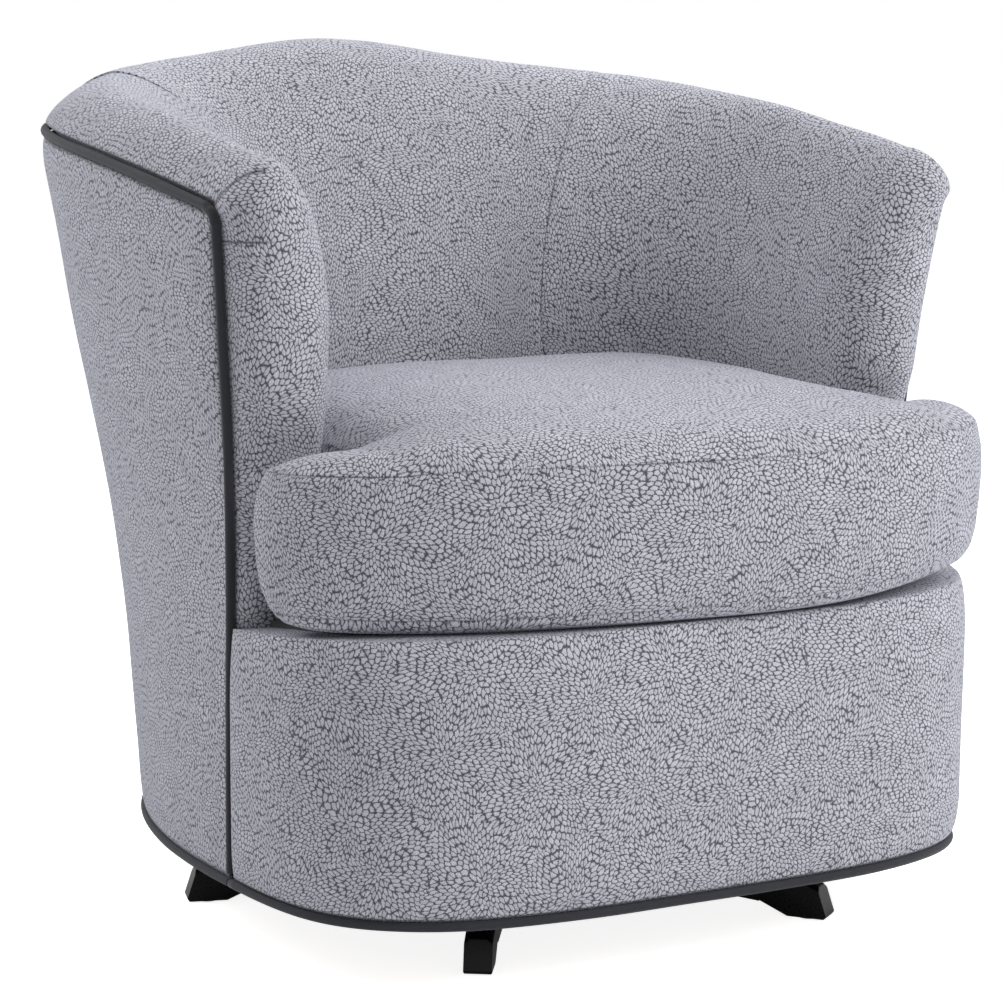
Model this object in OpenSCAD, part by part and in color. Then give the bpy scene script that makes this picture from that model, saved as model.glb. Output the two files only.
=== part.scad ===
// Barrel-back swivel rocker with a loose T-shaped seat cushion on a five-prong metal base.
// Millimetres. +Z is up, the front of the chair faces -Y, and the floor is z = 0.
// Everything is drawn about the swivel axis and then moved so that the overall box is centred.

/* [Outside shell] */
// Half width of the chair at the bottom welt
low_half_w = 343; // [320:1:370]
// Reach of the bottom welt behind the swivel axis
low_back = 429; // [405:1:450]
// Reach of the bottom welt in front of the swivel axis
low_front = 342; // [332:1:360]
// Height of the bottom welt's centre
low_z = 67; // [67:1:72]
// Half width of the chair at the top piping
top_half_w = 385; // [365:1:405]
// Reach of the top piping behind the swivel axis
top_back = 469; // [445:1:490]
// Height of the top piping at the back
top_back_z = 722; // [690:1:750]
// Height of the top piping at the arm fronts
top_front_z = 654; // [630:1:680]
// How far the outside panels swell past the piping line
top_swell = 7; // [0:0.5:14]
// How far the panels swell out just above the bottom welt
foot_swell = 3; // [1:0.5:10]

/* [Arms and back] */
// Reach of the arm fronts' piping ahead of the swivel axis, at the top
arm_front_top = 149; // [135:1:160]
// Reach of the arm fronts' piping ahead of the swivel axis, at the bottom
arm_front_low = 98; // [80:1:120]
// Inside half width between the arms
inside_half_w = 268; // [255:1:280]
// Reach of the inside back behind the swivel axis, at the seat
inside_back_y = 215; // [195:1:235]
// Half width of the rolled top at the back
roll_back = 78; // [64:1:80]
// Half width of the rolled top at the arm fronts
roll_front = 40; // [32:1:42]
// Height of the roll over its piping at the back
crown_back = 81; // [70:1:92]
// Height of the roll over its piping at the arm fronts
crown_front = 45; // [38:1:52]
// How far the rounded arm fronts stand ahead of their piping
arm_bulge = 46; // [36:1:52]

/* [Seat] */
// Height of the seat deck under the cushion
deck_z = 307; // [299:1:313]
// Thickness of the cushion at its sewn edge
cushion_h = 153; // [133:1:163]
// Crown of the cushion over its edge
cushion_crown = 36; // [20:1:46]
// Half width of the cushion across its ears
cushion_half_w = 357; // [350:1:364]
// Reach of the cushion ahead of the swivel axis
cushion_front = 378; // [368:1:390]

/* [Base] */
// Radius of the circle that the toes reach
toe_reach = 315; // [300:1:322]
// Number of prongs
prongs = 5; // [5:1:5]
// Width of a toe
toe_w = 25; // [23:1:30]
// Width of a prong's arm
prong_w = 22; // [18:1:26]
// Height of the hub's top face
hub_top = 50; // [50:1:52]
// Radius of the hub
hub_r = 42; // [38:1:46]

/* [Rocker unit] */
// Radius of the turntable's plates
race_r = 78; // [74:1:82]
// Height of the rocking pivot over the floor
pivot_z = 94; // [93:1:96]
// Radius of the pivot shaft
pivot_r = 7.95; // [7:0.05:8.5]
// Radial clearance of a shaft in its bush
run_gap = 0.05; // [0.02:0.01:0.1]
// Backward rocking limit in degrees
rock_back = 8; // [5:0.5:8]
// Forward rocking limit in degrees
rock_front = 4.5; // [2:0.5:4.5]
// Length of the rocker plates, front to back
plate_len = 190; // [185:1:210]
// Width of the rocker plates
plate_w = 150; // [145:1:170]
// Wire radius of the rocker springs
coil_wire = 2.2; // [1.8:0.1:2.5]
// Mean radius of the rocker springs
coil_r = 13; // [12.5:0.5:15]
// Turns of a rocker spring
coil_turns = 4; // [3:1:4]

/* [Trim] */
// Radius of the piping and the welt
welt_r = 4.3; // [3.5:0.1:4.5]

/* [Frame] */
// Thickness of the sawn plywood hoops
ply = 20; // [16:1:20]
// Number of sinuous seat springs
seat_springs = 5; // [3:1:6]

/* [Hidden] */

// Curved shapes
low_back_power = 2.18;
low_front_power = 3.56;
low_turn_y = -84;
top_power = 2.44;
top_turn_y = 86;
top_narrowing = 10.6;
top_rise_power = 1.88;
flare_back_power = 1.2;
flare_front_power = 2.4;
edge_low_z = 100;
edge_steps = 3;
edge_low_shares = [0, 0.03, 0.12];
edge_high_shares = [0.25, 0.42, 0.57, 0.7];
seam_top_share = 0.385;
seam_seat_share = 0.515;
seam_back_share = 0.52;
inside_power = 2.3;
inside_narrowing = 3;
roll_start_back_z = 480;
roll_start_front_z = 540;
small = 0.3;
touch = 0.02;
over = 1;
swell_run = 36;
upper_swell_z = 330;
upper_swell_rise = 240;
lower_swell_z = 150;
lower_swell_fall = 110;
welt_gap = 0.6;
welt_seat = welt_r + welt_gap;

// Layers, measured inward from the outside shell
skin_in = 12;
timber_in = 14;
post_in = 34;
hoop_in = 60;
pad_back_t = 70;
pad_arm_t = 48;
pad_gap = 2;
cap_lip = 4;
top_hoop_h = 28;

// Deck and timber heights
hoop_rise = 3;
hoop_low_z = low_z + hoop_rise;
hoop_top_z = hoop_low_z + ply;
spring_wire_h = 3.8;
deck_t = 10;
clip_h = 6;
deck_low_z = deck_z - deck_t;
deck_hoop_top = deck_low_z - clip_h;
deck_ply = 16;
deck_hoop_low = deck_hoop_top - deck_ply;
shell_columns = 48;

function lerp(a, b, w) = a + (b - a) * w;
function clamp01(v) = min(1, max(0, v));
function smooth(v) = let (c = clamp01(v)) c * c * (3 - 2 * c);
function round_edge(v) = let (c = clamp01(v)) sqrt(1 - (1 - c) * (1 - c));

// A quarter of a plan outline, from the back centre round to the front edge of the right side:
// a superellipse behind turn_y and a nearly straight stretch ahead of it.
function quarter(half_w, power, turn_y, back, front_y, narrowing) = concat(
    [for (k = [0:60]) let (a = 1.5 * k)
        [half_w * pow(sin(a), 2 / power), turn_y + (back - turn_y) * pow(cos(a), 2 / power)]],
    [for (k = [1:16]) let (s = k / 16)
        [half_w - narrowing * s * s, lerp(turn_y, front_y, s)]]);

// Lookup tables of x and y against the share of the arc length
function arc_lengths(p) =
    [for (i = 0, s = 0; i < len(p); s = s + (i + 1 < len(p) ? norm(p[i + 1] - p[i]) : 0), i = i + 1) s];
function rail(p) = let (s = arc_lengths(p), total = s[len(s) - 1])
    [[for (i = [0:len(p) - 1]) [s[i] / total, p[i][0]]],
     [for (i = [0:len(p) - 1]) [s[i] / total, p[i][1]]]];
function on_rail(r, u) = [sign(u) * lookup(abs(u), r[0]), lookup(abs(u), r[1])];
function unit(v) = v / norm(v);
rail_step_share = 0.004;
function outward(r, u) = let (d = on_rail(r, u + rail_step_share) - on_rail(r, u - rail_step_share))
    unit([-d[1], d[0]]);

low_rail = rail(quarter(low_half_w, low_back_power, low_turn_y, low_back, -arm_front_low, 0));
top_quarter = quarter(top_half_w, top_power, top_turn_y, top_back, -arm_front_top, top_narrowing);
top_rail = rail(top_quarter);
shell_run = let (s = arc_lengths(top_quarter)) s[len(s) - 1];

// Height of the top piping, which rises from the arm fronts to the back
function top_z(u) = let (t = clamp01((on_rail(top_rail, u)[1] + arm_front_top) / (top_back + arm_front_top)))
    lerp(top_front_z, top_back_z, 1 - pow(1 - t, top_rise_power));

// Front edge of the arms at a height
edge_slope_share = (1 - edge_high_shares[edge_steps]) / (top_front_z - roll_start_front_z);
edge_table = concat(
    [for (k = [0:edge_steps - 1]) [lerp(edge_low_z, deck_z, k / edge_steps), edge_low_shares[k]]],
    [for (k = [0:edge_steps]) [lerp(deck_z, roll_start_front_z, k / edge_steps), edge_high_shares[k]]],
    [[top_front_z + crown_front, 1 + edge_slope_share * crown_front]]);
function edge_y(z) = -lerp(arm_front_low, arm_front_top, lookup(z, edge_table));

// Plan point of the outside shell at a share u of its run and a height z
function shell_xy(u, z) = let (
    t = clamp01((z - low_z) / (top_z(u) - low_z)),
    w = pow(t, lerp(flare_back_power, flare_front_power, pow(abs(u), 3))),
    p = lerp(on_rail(low_rail, u), on_rail(top_rail, u), w),
    straight = -lerp(arm_front_low, arm_front_top, w))
    [p[0], p[1] + (edge_y(z) - straight) * pow(abs(u), 6)];
shell_step_share = 0.006;
function shell_out(u, z) = let (d = shell_xy(u + shell_step_share, z) - shell_xy(u - shell_step_share, z))
    unit([-d[1], d[0]]);
function shell_pt(u, z, inset) = let (p = shell_xy(u, z) - inset * shell_out(u, z)) [p[0], p[1], z];

// How far the covering stands outside the shell line
function shell_swell(u, z) = let (
    v = z - low_z - welt_seat,
    h = top_z(u) - z - welt_seat,
    e = (1 - abs(u)) * shell_run - welt_seat)
    (v < touch) ? -welt_seat :
    (top_swell * smooth((z - upper_swell_z) / upper_swell_rise)
    + foot_swell * (1 - smooth((z - lower_swell_z) / lower_swell_fall)))
    * round_edge(v / swell_run) * round_edge(h / swell_run) * round_edge(e / swell_run);
function shell_face(u, z) = shell_pt(u, z, -shell_swell(u, z));

// Inside plan outline at the seat: inside of it, the value is negative
function inside_value(p) = let (x = abs(p[0]))
    p[1] > 0 ? pow(x / inside_half_w, inside_power) + pow(p[1] / inside_back_y, inside_power) - 1
    : x / (inside_half_w - inside_narrowing * clamp01(-p[1] / arm_front_top)) - 1;
function inside_search(p, n, near, far, k) = let (m = (near + far) / 2)
    k == 0 ? m : inside_value(p - m * n) > 0 ? inside_search(p, n, m, far, k - 1)
    : inside_search(p, n, near, m, k - 1);
function inside_depth(u) = inside_search(on_rail(top_rail, u), outward(top_rail, u), 0, top_back, 18);

// Section of the arm and back pad at u, as pairs of depth from the piping and height
function roll_half(u) = lerp(roll_back, roll_front, abs(u));
function crest_z(u) = let (away = sqrt(u * u + crown_ease * crown_ease) - crown_ease)
    top_z(u) + lerp(crown_front, crown_back, pow(1 - away, crown_fall_power));
function roll_start(u) = lerp(roll_start_back_z, roll_start_front_z, smooth(abs(u)));
function pad_t(u) = lerp(pad_back_t, pad_arm_t, smooth(abs(u) * 1.3));
cap_steps = 5;
cap_power = 1.5;
roll_power = 1.8;
crown_ease = 0.1;
crown_fall_power = 4.4;
cap_first_angle = 8;
roll_steps = 8;
straight_rows = [for (k = [edge_steps - 1:-1:0]) lerp(deck_z, roll_start_front_z, k / edge_steps)];
function pad_face(u, depth) = let (a = roll_half(u), c = crest_z(u), s = top_z(u), r = roll_start(u))
    concat(
        [for (k = [0:cap_steps]) let (g = lerp(cap_first_angle, 90, k / cap_steps))
            [a - a * pow(cos(g), 2 / cap_power),
                s + welt_seat + (c - s - welt_seat) * pow(sin(g), 2 / cap_power)]],
        [for (k = [1:roll_steps]) let (g = 90 * k / roll_steps)
            [a + (depth - a) * pow(sin(g), 2 / roll_power), r + (c - r) * pow(cos(g), 2 / roll_power)]],
        [for (z = straight_rows) [depth, z]]);
function pad_rear(u, depth) = let (a = roll_half(u), s = top_z(u), r = roll_start(u), b = depth - pad_t(u))
    concat(
        [for (k = [0:cap_steps]) [lerp(cap_lip, post_in + pad_gap, k / cap_steps), s + welt_seat]],
        [for (k = [1:roll_steps]) let (g = 90 * k / roll_steps)
            [post_in + pad_gap + (b - post_in - pad_gap) * sin(g),
                r + (s - top_hoop_h - pad_gap - r) * cos(g)]],
        [for (z = straight_rows) [b, z]]);
// How far the shell lies inside the piping's plan line at a height
function lean(u, z) = let (n = outward(top_rail, u), p = on_rail(top_rail, u) - shell_xy(u, z))
    abs(u) > end_zone ? p[0] / n[0] : p * n;
end_zone = 0.9;
// A section point set out in space at u; near the arm fronts it follows the slanted front edge
function pad_place(u, q) = let (p = on_rail(top_rail, u) - q[0] * outward(top_rail, u))
    [p[0], p[1] + (edge_y(q[1]) + arm_front_top) * pow(abs(u), 6), q[1]];
pad_rows = cap_steps + 1 + roll_steps + edge_steps;
function pad_face_at(u, i) = pad_place(u, pad_face(u, inside_depth(u))[i]);
function pad_rear_at(u, i) = pad_place(u, pad_rear(u, inside_depth(u))[i]);

// Sizes that place the swivel axis so that the overall box is centred front to back
back_reach = max([for (h = [welt_seat:1:3 * swell_run]) shell_face(0, top_z(0) - h)[1]]);
swivel_y = (cushion_front - back_reach) / 2;
module about_swivel() translate([0, swivel_y, 0]) children();

// A closed solid between two grids of points with the same rows and columns
module slab(front, back) {
    rows = len(front);
    cols = len(front[0]);
    total = rows * cols;
    points = concat([for (r = front) each r], [for (r = back) each r]);
    faces = concat(
        [for (i = [0:rows - 2], j = [0:cols - 2]) let (a = i * cols + j) [a, a + 1, a + cols]],
        [for (i = [0:rows - 2], j = [0:cols - 2]) let (a = i * cols + j) [a + 1, a + cols + 1, a + cols]],
        [for (i = [0:rows - 2], j = [0:cols - 2]) let (a = total + i * cols + j) [a, a + cols, a + 1]],
        [for (i = [0:rows - 2], j = [0:cols - 2]) let (a = total + i * cols + j)
            [a + 1, a + cols, a + cols + 1]],
        [for (j = [0:cols - 2]) [j, total + j, j + 1]],
        [for (j = [0:cols - 2]) [j + 1, total + j, total + j + 1]],
        [for (j = [0:cols - 2]) let (a = (rows - 1) * cols + j) [a, a + 1, total + a]],
        [for (j = [0:cols - 2]) let (a = (rows - 1) * cols + j) [a + 1, total + a + 1, total + a]],
        [for (i = [0:rows - 2]) let (a = i * cols) [a, a + cols, total + a]],
        [for (i = [0:rows - 2]) let (a = i * cols) [a + cols, total + a + cols, total + a]],
        [for (i = [0:rows - 2]) let (a = i * cols + cols - 1) [a, total + a, a + cols]],
        [for (i = [0:rows - 2]) let (a = i * cols + cols - 1) [a + cols, total + a, total + a + cols]]);
    polyhedron(points, faces);
}

// A round tube along a list of points; out holds a direction square to the run at each point
module tube(path, out, r, sides, closed = false) {
    n = len(path);
    points = [for (i = [0:n - 1]) let (
            before = closed ? path[(i + n - 1) % n] : path[max(0, i - 1)],
            after = closed ? path[(i + 1) % n] : path[min(n - 1, i + 1)],
            d = unit(after - before),
            side = unit(out[i] - (out[i] * d) * d),
            lift = cross(d, side))
        for (k = [0:sides - 1]) let (g = 360 * k / sides) path[i] + r * (cos(g) * side + sin(g) * lift)];
    last = closed ? n - 1 : n - 2;
    skin = [for (i = [0:last], k = [0:sides - 1]) let (
            a = i * sides + k,
            b = i * sides + (k + 1) % sides,
            c = ((i + 1) % n) * sides + k,
            d = ((i + 1) % n) * sides + (k + 1) % sides)
        each [[a, b, c], [b, d, c]]];
    ends = closed ? [] : [[for (k = [sides - 1:-1:0]) k], [for (k = [0:sides - 1]) (n - 1) * sides + k]];
    polyhedron(points, concat(skin, ends));
}

// Rows of an outside panel from the bottom edge to the piping
foot_drop = 3;
round_row = 8;
swell_row = 41;
crest_row = 15;
foot_rows = [-foot_drop, welt_seat, welt_seat + 2 * touch, welt_seat + round_row, swell_row];
mid_row_shares = [0.28, 0.56, 0.82];
top_rows = [swell_row, crest_row, welt_seat];
function panel_rows(u) = let (low = low_z + swell_row, high = top_z(u) - swell_row) concat(
    [for (h = foot_rows) low_z + h],
    [for (s = mid_row_shares) lerp(low, high, s)],
    [for (h = top_rows) top_z(u) - h]);
edge_set_in = 2.2;
edge_share = 1 - (welt_seat + edge_set_in) / shell_run;

// Outside panel between two shares of the run
pipe_corner = 12;
corner_in = pipe_corner - (pipe_corner - welt_seat) / sqrt(2) - welt_seat;
function panel_spots(u) = let (
    rows = panel_rows(u), last = len(rows) - 1, end = abs(u) > edge_share - touch / shell_run)
    [for (i = [0:last]) let (d = end && i == last ? corner_in : 0)
        [sign(u) * (abs(u) - d / shell_run), rows[i] - d]];
module outside_panel(u0, u1, steps) {
    cols = [for (k = [0:steps]) lerp(u0, u1, k / steps)];
    slab([for (u = cols) [for (q = panel_spots(u)) shell_face(q[0], q[1])]],
        [for (u = cols) [for (q = panel_spots(u)) shell_pt(q[0], q[1], skin_in)]]);
}
module outside_arm_left() color("silver") about_swivel() outside_panel(-edge_share, -seam_back_share, 12);
module outside_back() color("silver") about_swivel() outside_panel(-seam_back_share, seam_back_share, 26);
module outside_arm_right() color("silver") about_swivel() outside_panel(seam_back_share, edge_share, 12);

// Inside back and arms, each running over the rolled top to the piping. The seams between them
// lean outward from the seat to the top, so a column's share of the run changes down its rows.
function seam_at(i) = lerp(seam_top_share, seam_seat_share, i / (pad_rows - 1));
module inside_pad(steps, back) {
    shares = [for (k = [0:steps]) [for (i = [0:pad_rows - 1])
        back ? seam_at(i) * (2 * k / steps - 1) : lerp(seam_at(i), 1, k / steps)]];
    slab([for (c = shares) [for (i = [0:pad_rows - 1]) pad_rear_at(c[i], i)]],
        [for (c = shares) [for (i = [0:pad_rows - 1]) pad_face_at(c[i], i)]]);
}
arm_pad_steps = 14;
back_pad_steps = 26;
module inside_arm_left() color("lightgrey") about_swivel()
    mirror([1, 0, 0]) inside_pad(arm_pad_steps, false);
module inside_back() color("lightgrey") about_swivel() inside_pad(back_pad_steps, true);
module inside_arm_right() color("lightgrey") about_swivel() inside_pad(arm_pad_steps, false);

// Rounded arm fronts
arm_low_bulge = 22;
bulge_low_z = 420;
bulge_rise = 80;
arm_edge_t = 2;
arm_bulge_power = 0.8;
arm_upper_shares = [0.33, 0.67];
arm_cap_angles = [0, 22, 44, 62, 78, 87];
arm_steps = 8;
function arm_bulge_at(z) = let (s = top_front_z, c = crest_z(1))
    lerp(arm_low_bulge, arm_bulge, smooth((z - bulge_low_z) / bulge_rise))
    * sqrt(1 - pow(clamp01((z - s) / (c - s)), 2));
function superellipse_rest(v, power) = pow(max(0, 1 - pow(clamp01(v), power)), 1 / power);
function arm_row(z) = let (
        s = top_front_z, c = crest_z(1), r = roll_start_front_z, a = roll_front, i = inside_depth(1),
        near = z > s ? a - a * superellipse_rest((z - s) / (c - s), cap_power) : lean(1, z),
        far = z > r ? a + (i - a) * superellipse_rest((z - r) / (c - r), roll_power) : i)
    [near + lerp(welt_seat, small, clamp01((z - s) / (c - s))), far];
function arm_rows() = concat(
    [for (k = [0:2 * edge_steps]) lerp(deck_z, roll_start_front_z, k / (2 * edge_steps))],
    [for (s = arm_upper_shares) lerp(roll_start_front_z, top_front_z, s)],
    [for (g = arm_cap_angles) top_front_z + (crest_z(1) - top_front_z) * sin(g)]);
module arm_front(side) {
    slab([for (z = arm_rows()) let (e = arm_row(z)) [for (k = [0:arm_steps]) let (g = 180 * k / arm_steps,
            p = pad_place(side, [lerp(e[0], e[1], (1 - cos(g)) / 2), z]))
            [p[0], p[1] - (arm_edge_t + arm_bulge_at(z) * pow(max(0, sin(g)), arm_bulge_power)), z]]],
        [for (z = arm_rows()) let (e = arm_row(z)) [for (k = [0:arm_steps]) let (g = 180 * k / arm_steps)
            pad_place(side, [lerp(e[0], e[1], (1 - cos(g)) / 2), z])]]);
}
module arm_front_left() color("lightgrey") about_swivel() arm_front(-1);
module arm_front_right() color("lightgrey") about_swivel() mirror([1, 0, 0]) arm_front(-1);

// Bow-front rail panel
front_swell = 9.5;
front_low_share = 0.85;
front_swell_z = 100;
front_swell_rise = 130;
front_top_run = 60;
front_quarter = [for (k = [0:60]) let (a = 1.5 * k)
    [low_half_w * pow(sin(a), 2 / low_front_power),
    low_turn_y - (low_front + low_turn_y) * pow(cos(a), 2 / low_front_power)]];
front_rail = rail(front_quarter);
front_run = let (s = arc_lengths(front_quarter)) s[len(s) - 1];
front_end = 1 - (arm_front_low + welt_seat + low_turn_y) / front_run;
function front_xy(v, z) = let (p = on_rail(front_rail, v))
    [p[0] * shell_xy(1, z)[0] / low_half_w, p[1] + (edge_y(z) + arm_front_low) * pow(abs(v) / front_end, 8)];
function front_out(v, z) = let (d = front_xy(v + rail_step_share, z) - front_xy(v - rail_step_share, z))
    unit([d[1], -d[0]]);
function front_swell_at(v, z) = let (h = z - low_z - welt_seat)
    h < touch ? -welt_seat
    : front_swell * lerp(front_low_share, 1, clamp01((z - front_swell_z) / front_swell_rise))
    * round_edge(h / swell_run) * round_edge((deck_z - z) / front_top_run)
    * round_edge((front_end - abs(v)) * front_run / swell_run);
function front_pt(v, z, inset) = let (p = front_xy(v, z) - inset * front_out(v, z)) [p[0], p[1], z];
front_row_shares = [0.3, 0.55, 0.75, 0.88, 0.96, 1];
module front_rail_pad() color("lightgrey") about_swivel() {
    steps = 28;
    low = low_z + foot_rows[len(foot_rows) - 1];
    rows = concat([for (h = foot_rows) low_z + h], [for (s = front_row_shares) lerp(low, deck_z, s)]);
    cols = [for (k = [0:steps]) lerp(front_end, -front_end, k / steps)];
    slab([for (v = cols) [for (z = rows) front_pt(v, z, -front_swell_at(v, z))]],
        [for (v = cols) [for (z = rows) front_pt(v, z, skin_in)]]);
}

// Piping along the top edge and down both arm fronts
pipe_foot = low_z + 2 * welt_r + small;
pipe_steps = 22;
pipe_top_steps = 64;
pipe_sides = 8;
corner_share = pipe_corner / shell_run;
function pipe_side(sgn) = [for (k = [0:pipe_steps]) let (
    z = lerp(pipe_foot, top_front_z - pipe_corner, k / pipe_steps))
    [shell_xy(sgn, z), z, sgn]];
function pipe_bend(sgn) = [for (g = [22.5, 45, 67.5]) let (z = top_front_z - pipe_corner * (1 - sin(g)),
        u = sgn * (1 - corner_share * (1 - cos(g)))) [on_rail(top_rail, u), z, sgn]];
pipe_route = concat(pipe_side(-1), pipe_bend(-1),
    [for (k = [0:pipe_top_steps]) let (u = lerp(corner_share - 1, 1 - corner_share, k / pipe_top_steps))
        [on_rail(top_rail, u), top_z(u), u]],
    [for (k = [2:-1:0]) pipe_bend(1)[k]], [for (k = [pipe_steps:-1:0]) pipe_side(1)[k]]);
module arm_and_back_piping() color("dimgrey") about_swivel() tube(
    [for (p = pipe_route) [p[0][0], p[0][1], p[1]]],
    [for (p = pipe_route) let (n = outward(top_rail, p[2])) [n[0], n[1], 0]], welt_r, pipe_sides);

// Welt round the bottom edge
welt_steps = 30;
welt_front_steps = 22;
welt_back_u = [for (k = [-welt_steps:welt_steps]) k / welt_steps];
welt_front_v = [for (k = [1:2 * welt_front_steps - 1]) front_end * (1 - k / welt_front_steps)];
module bottom_welt() color("dimgrey") about_swivel() tube(
    concat([for (u = welt_back_u) shell_pt(u, low_z, 0)], [for (v = welt_front_v) front_pt(v, low_z, 0)]),
    concat([for (u = welt_back_u) let (n = shell_out(u, low_z)) [n[0], n[1], 0]],
        [for (v = welt_front_v) let (n = front_out(v, low_z)) [n[0], n[1], 0]]),
    welt_r, 8, true);

// Loose seat cushion: a T in plan, with an ear in front of each arm
cushion_low_z = deck_z + small;
cushion_gap = 3;
ear_back = arm_front_top + arm_low_bulge + arm_edge_t;
ear_corner = 26;
ear_turn_y = ear_back + ear_corner;
front_power = 2.6;
cushion_heart_y = 245;
notch_fillet = 12;
neck_share = 0.55;
crown_half_w = 265;
crown_front_run = 385;
crown_back_run = 222;
crown_y = 20;
crown_side_power = 3;
crown_run_power = 2.6;
edge_roll = 56;
// Shares of the edge roll and of the height up the cushion's side
cushion_ring_shares = [[1, 0], [0.62, 0.03], [0.32, 0.09], [0.12, 0.19], [0.02, 0.33], [0, 0.48],
    [0.03, 0.64], [0.14, 0.79], [0.34, 0.9], [0.62, 0.97], [0.9, 1]];
top_ring_shares = [0.84, 0.66, 0.46, 0.28, 0.13];
back_points = 12;
front_points = 15;
ear_points = 4;
function cushion_half(e) = let (
        w = inside_half_w - inside_narrowing - cushion_gap - e, f = cushion_half_w - e,
        b = inside_back_y - cushion_gap - e, y = ear_back + e, r = ear_corner, c = ear_turn_y + e) concat(
    [for (k = [0:back_points - 1]) let (a = 90 * k / back_points)
        [(w + inside_narrowing) * pow(sin(a), 2 / inside_power), b * pow(cos(a), 2 / inside_power)]],
    [[w + inside_narrowing, 0], [w, -neck_share * y]],
    [for (k = [0:2]) let (a = 45 * k) [w + notch_fillet * (1 - cos(a)), -y + notch_fillet * (1 - sin(a))]],
    [for (k = [0:ear_points]) let (a = 90 * k / ear_points) [f - r * (1 - sin(a)), -y - r * (1 - cos(a))]],
    [for (k = [1:front_points]) let (a = 90 * k / front_points)
        [f * pow(max(0, cos(a)), 2 / front_power),
            -c - (cushion_front - e - c) * pow(sin(a), 2 / front_power)]]);
function cushion_outline(e) = let (h = cushion_half(e), n = len(h))
    concat(h, [for (k = [n - 2:-1:1]) [-h[k][0], h[k][1]]]);
function crown(p) = let (y = p[1] - crown_y, run = y < 0 ? crown_front_run : crown_back_run)
    cushion_crown * (1 - pow(clamp01(abs(p[0]) / crown_half_w), crown_side_power))
    * (1 - pow(clamp01(abs(y) / run), crown_run_power));
module seat_cushion() color("lightgrey") about_swivel() {
    heart = [0, -cushion_heart_y];
    sides = [for (q = cushion_ring_shares) [for (p = cushion_outline(edge_roll * q[0]))
        [p[0], p[1], cushion_low_z + cushion_h * q[1] + crown(p) * smooth(2 * q[1] - 1)]]];
    inner = cushion_outline(edge_roll * cushion_ring_shares[len(cushion_ring_shares) - 1][0]);
    tops = [for (s = top_ring_shares) [for (p = inner) let (q = heart + s * (p - heart))
        [q[0], q[1], cushion_low_z + cushion_h + crown(q)]]];
    rings = concat(sides, tops);
    m = len(inner);
    n = len(rings);
    points = concat([for (r = rings) each r],
        [[heart[0], heart[1], cushion_low_z],
            [heart[0], heart[1], cushion_low_z + cushion_h + crown(heart)]]);
    faces = concat(
        [for (i = [0:n - 2], k = [0:m - 1]) let (a = i * m + k, b = i * m + (k + 1) % m)
            each [[a, a + m, b], [b, a + m, b + m]]],
        [for (k = [0:m - 1]) [n * m, k, (k + 1) % m]],
        [for (k = [0:m - 1]) [n * m + 1, (n - 1) * m + (k + 1) % m, (n - 1) * m + k]]);
    polyhedron(points, faces);
}

// Timber frame: outlines of the closed hoops at a height, measured in from the shell
function hoop_outline(z, inset) = concat(
    [for (k = [-shell_columns / 2:shell_columns / 2])
        let (p = shell_pt(2 * k / shell_columns, z, inset)) [p[0], p[1]]],
    [for (k = [0:shell_columns / 2])
        let (p = front_pt(front_end * (1 - 4 * k / shell_columns), z, inset)) [p[0], p[1]]]);
module hoop(low, high, outer, inner) translate([0, 0, low]) linear_extrude(high - low) difference() {
    polygon(hoop_outline(low, outer));
    polygon(hoop_outline(low, inner));
}
module bottom_hoop() color("burlywood") about_swivel() hoop(hoop_low_z, hoop_top_z, timber_in, hoop_in);
module deck_hoop() color("burlywood") about_swivel()
    hoop(deck_hoop_low, deck_hoop_top, timber_in, deck_hoop_in);
deck_hoop_in = 50;

post_w = 40;
post_shares = [0.12, 0.34, 0.56, 0.93];
module lower_posts() color("burlywood") about_swivel() for (s = [-1, 1], q = post_shares) {
    p = shell_pt(s * q, hoop_top_z, timber_in);
    n = shell_out(s * q, hoop_top_z);
    translate(p) rotate([0, 0, atan2(n[1], n[0])]) translate([timber_in - post_in, -post_w / 2, 0])
        cube([post_in - timber_in - pad_gap, post_w, deck_hoop_low - hoop_top_z]);
}

board_share = 0.86;
module front_board() color("burlywood") about_swivel() translate([0, 0, hoop_top_z])
    linear_extrude(deck_hoop_low - hoop_top_z) polygon(concat(
        [for (k = [-14:14]) let (p = front_pt(board_share * k / 14, hoop_top_z, timber_in)) [p[0], p[1]]],
        [for (k = [14:-1:-14]) let (p = front_pt(board_share * k / 14, hoop_top_z, post_in)) [p[0], p[1]]]));

// Shaped ribs between the deck hoop and the top hoop, cut to the outside and inside profiles
rib_t = 18;
rib_shares = [0.07, 0.26, 0.44, 0.6, 0.76, 0.96];
rib_level_shares = [0, 0.3, 0.6, 0.85, 1];
rib_undercut = 8;
rib_gap = 8.5;
module rib(u) {
    slope = rib_t / 2 / shell_run;
    top = min(top_z(u - slope), top_z(u + slope)) - top_hoop_h - small;
    low = deck_hoop_top;
    inner = [for (q = pad_rear(u, inside_depth(u))) if (q[1] < top - rib_gap) [q[0] - rib_gap, q[1]]];
    outer = [for (s = rib_level_shares) let (z = lerp(low, top, s)) [lean(u, z) + timber_in + pad_gap, z]];
    foot = min(lean(u, low) + deck_hoop_in, inner[len(inner) - 1][0]);
    p = on_rail(top_rail, u);
    n = outward(top_rail, u);
    translate([p[0], p[1] + (abs(u) > end_zone ? edge_y(low) + arm_front_top : 0), 0])
        rotate([90, 0, atan2(-n[1], -n[0])]) translate([0, 0, -rib_t / 2]) linear_extrude(rib_t)
        polygon(concat(outer, [[lean(u, top) + post_in, top]],
            [for (q = inner) if (q[1] > low + rib_undercut + over) q],
            [[inner[len(inner) - 1][0], low + rib_undercut], [foot, low + rib_undercut], [foot, low]]));
}
module back_ribs() color("burlywood") about_swivel() for (s = [-1, 1], q = rib_shares) rib(s * q);

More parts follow.
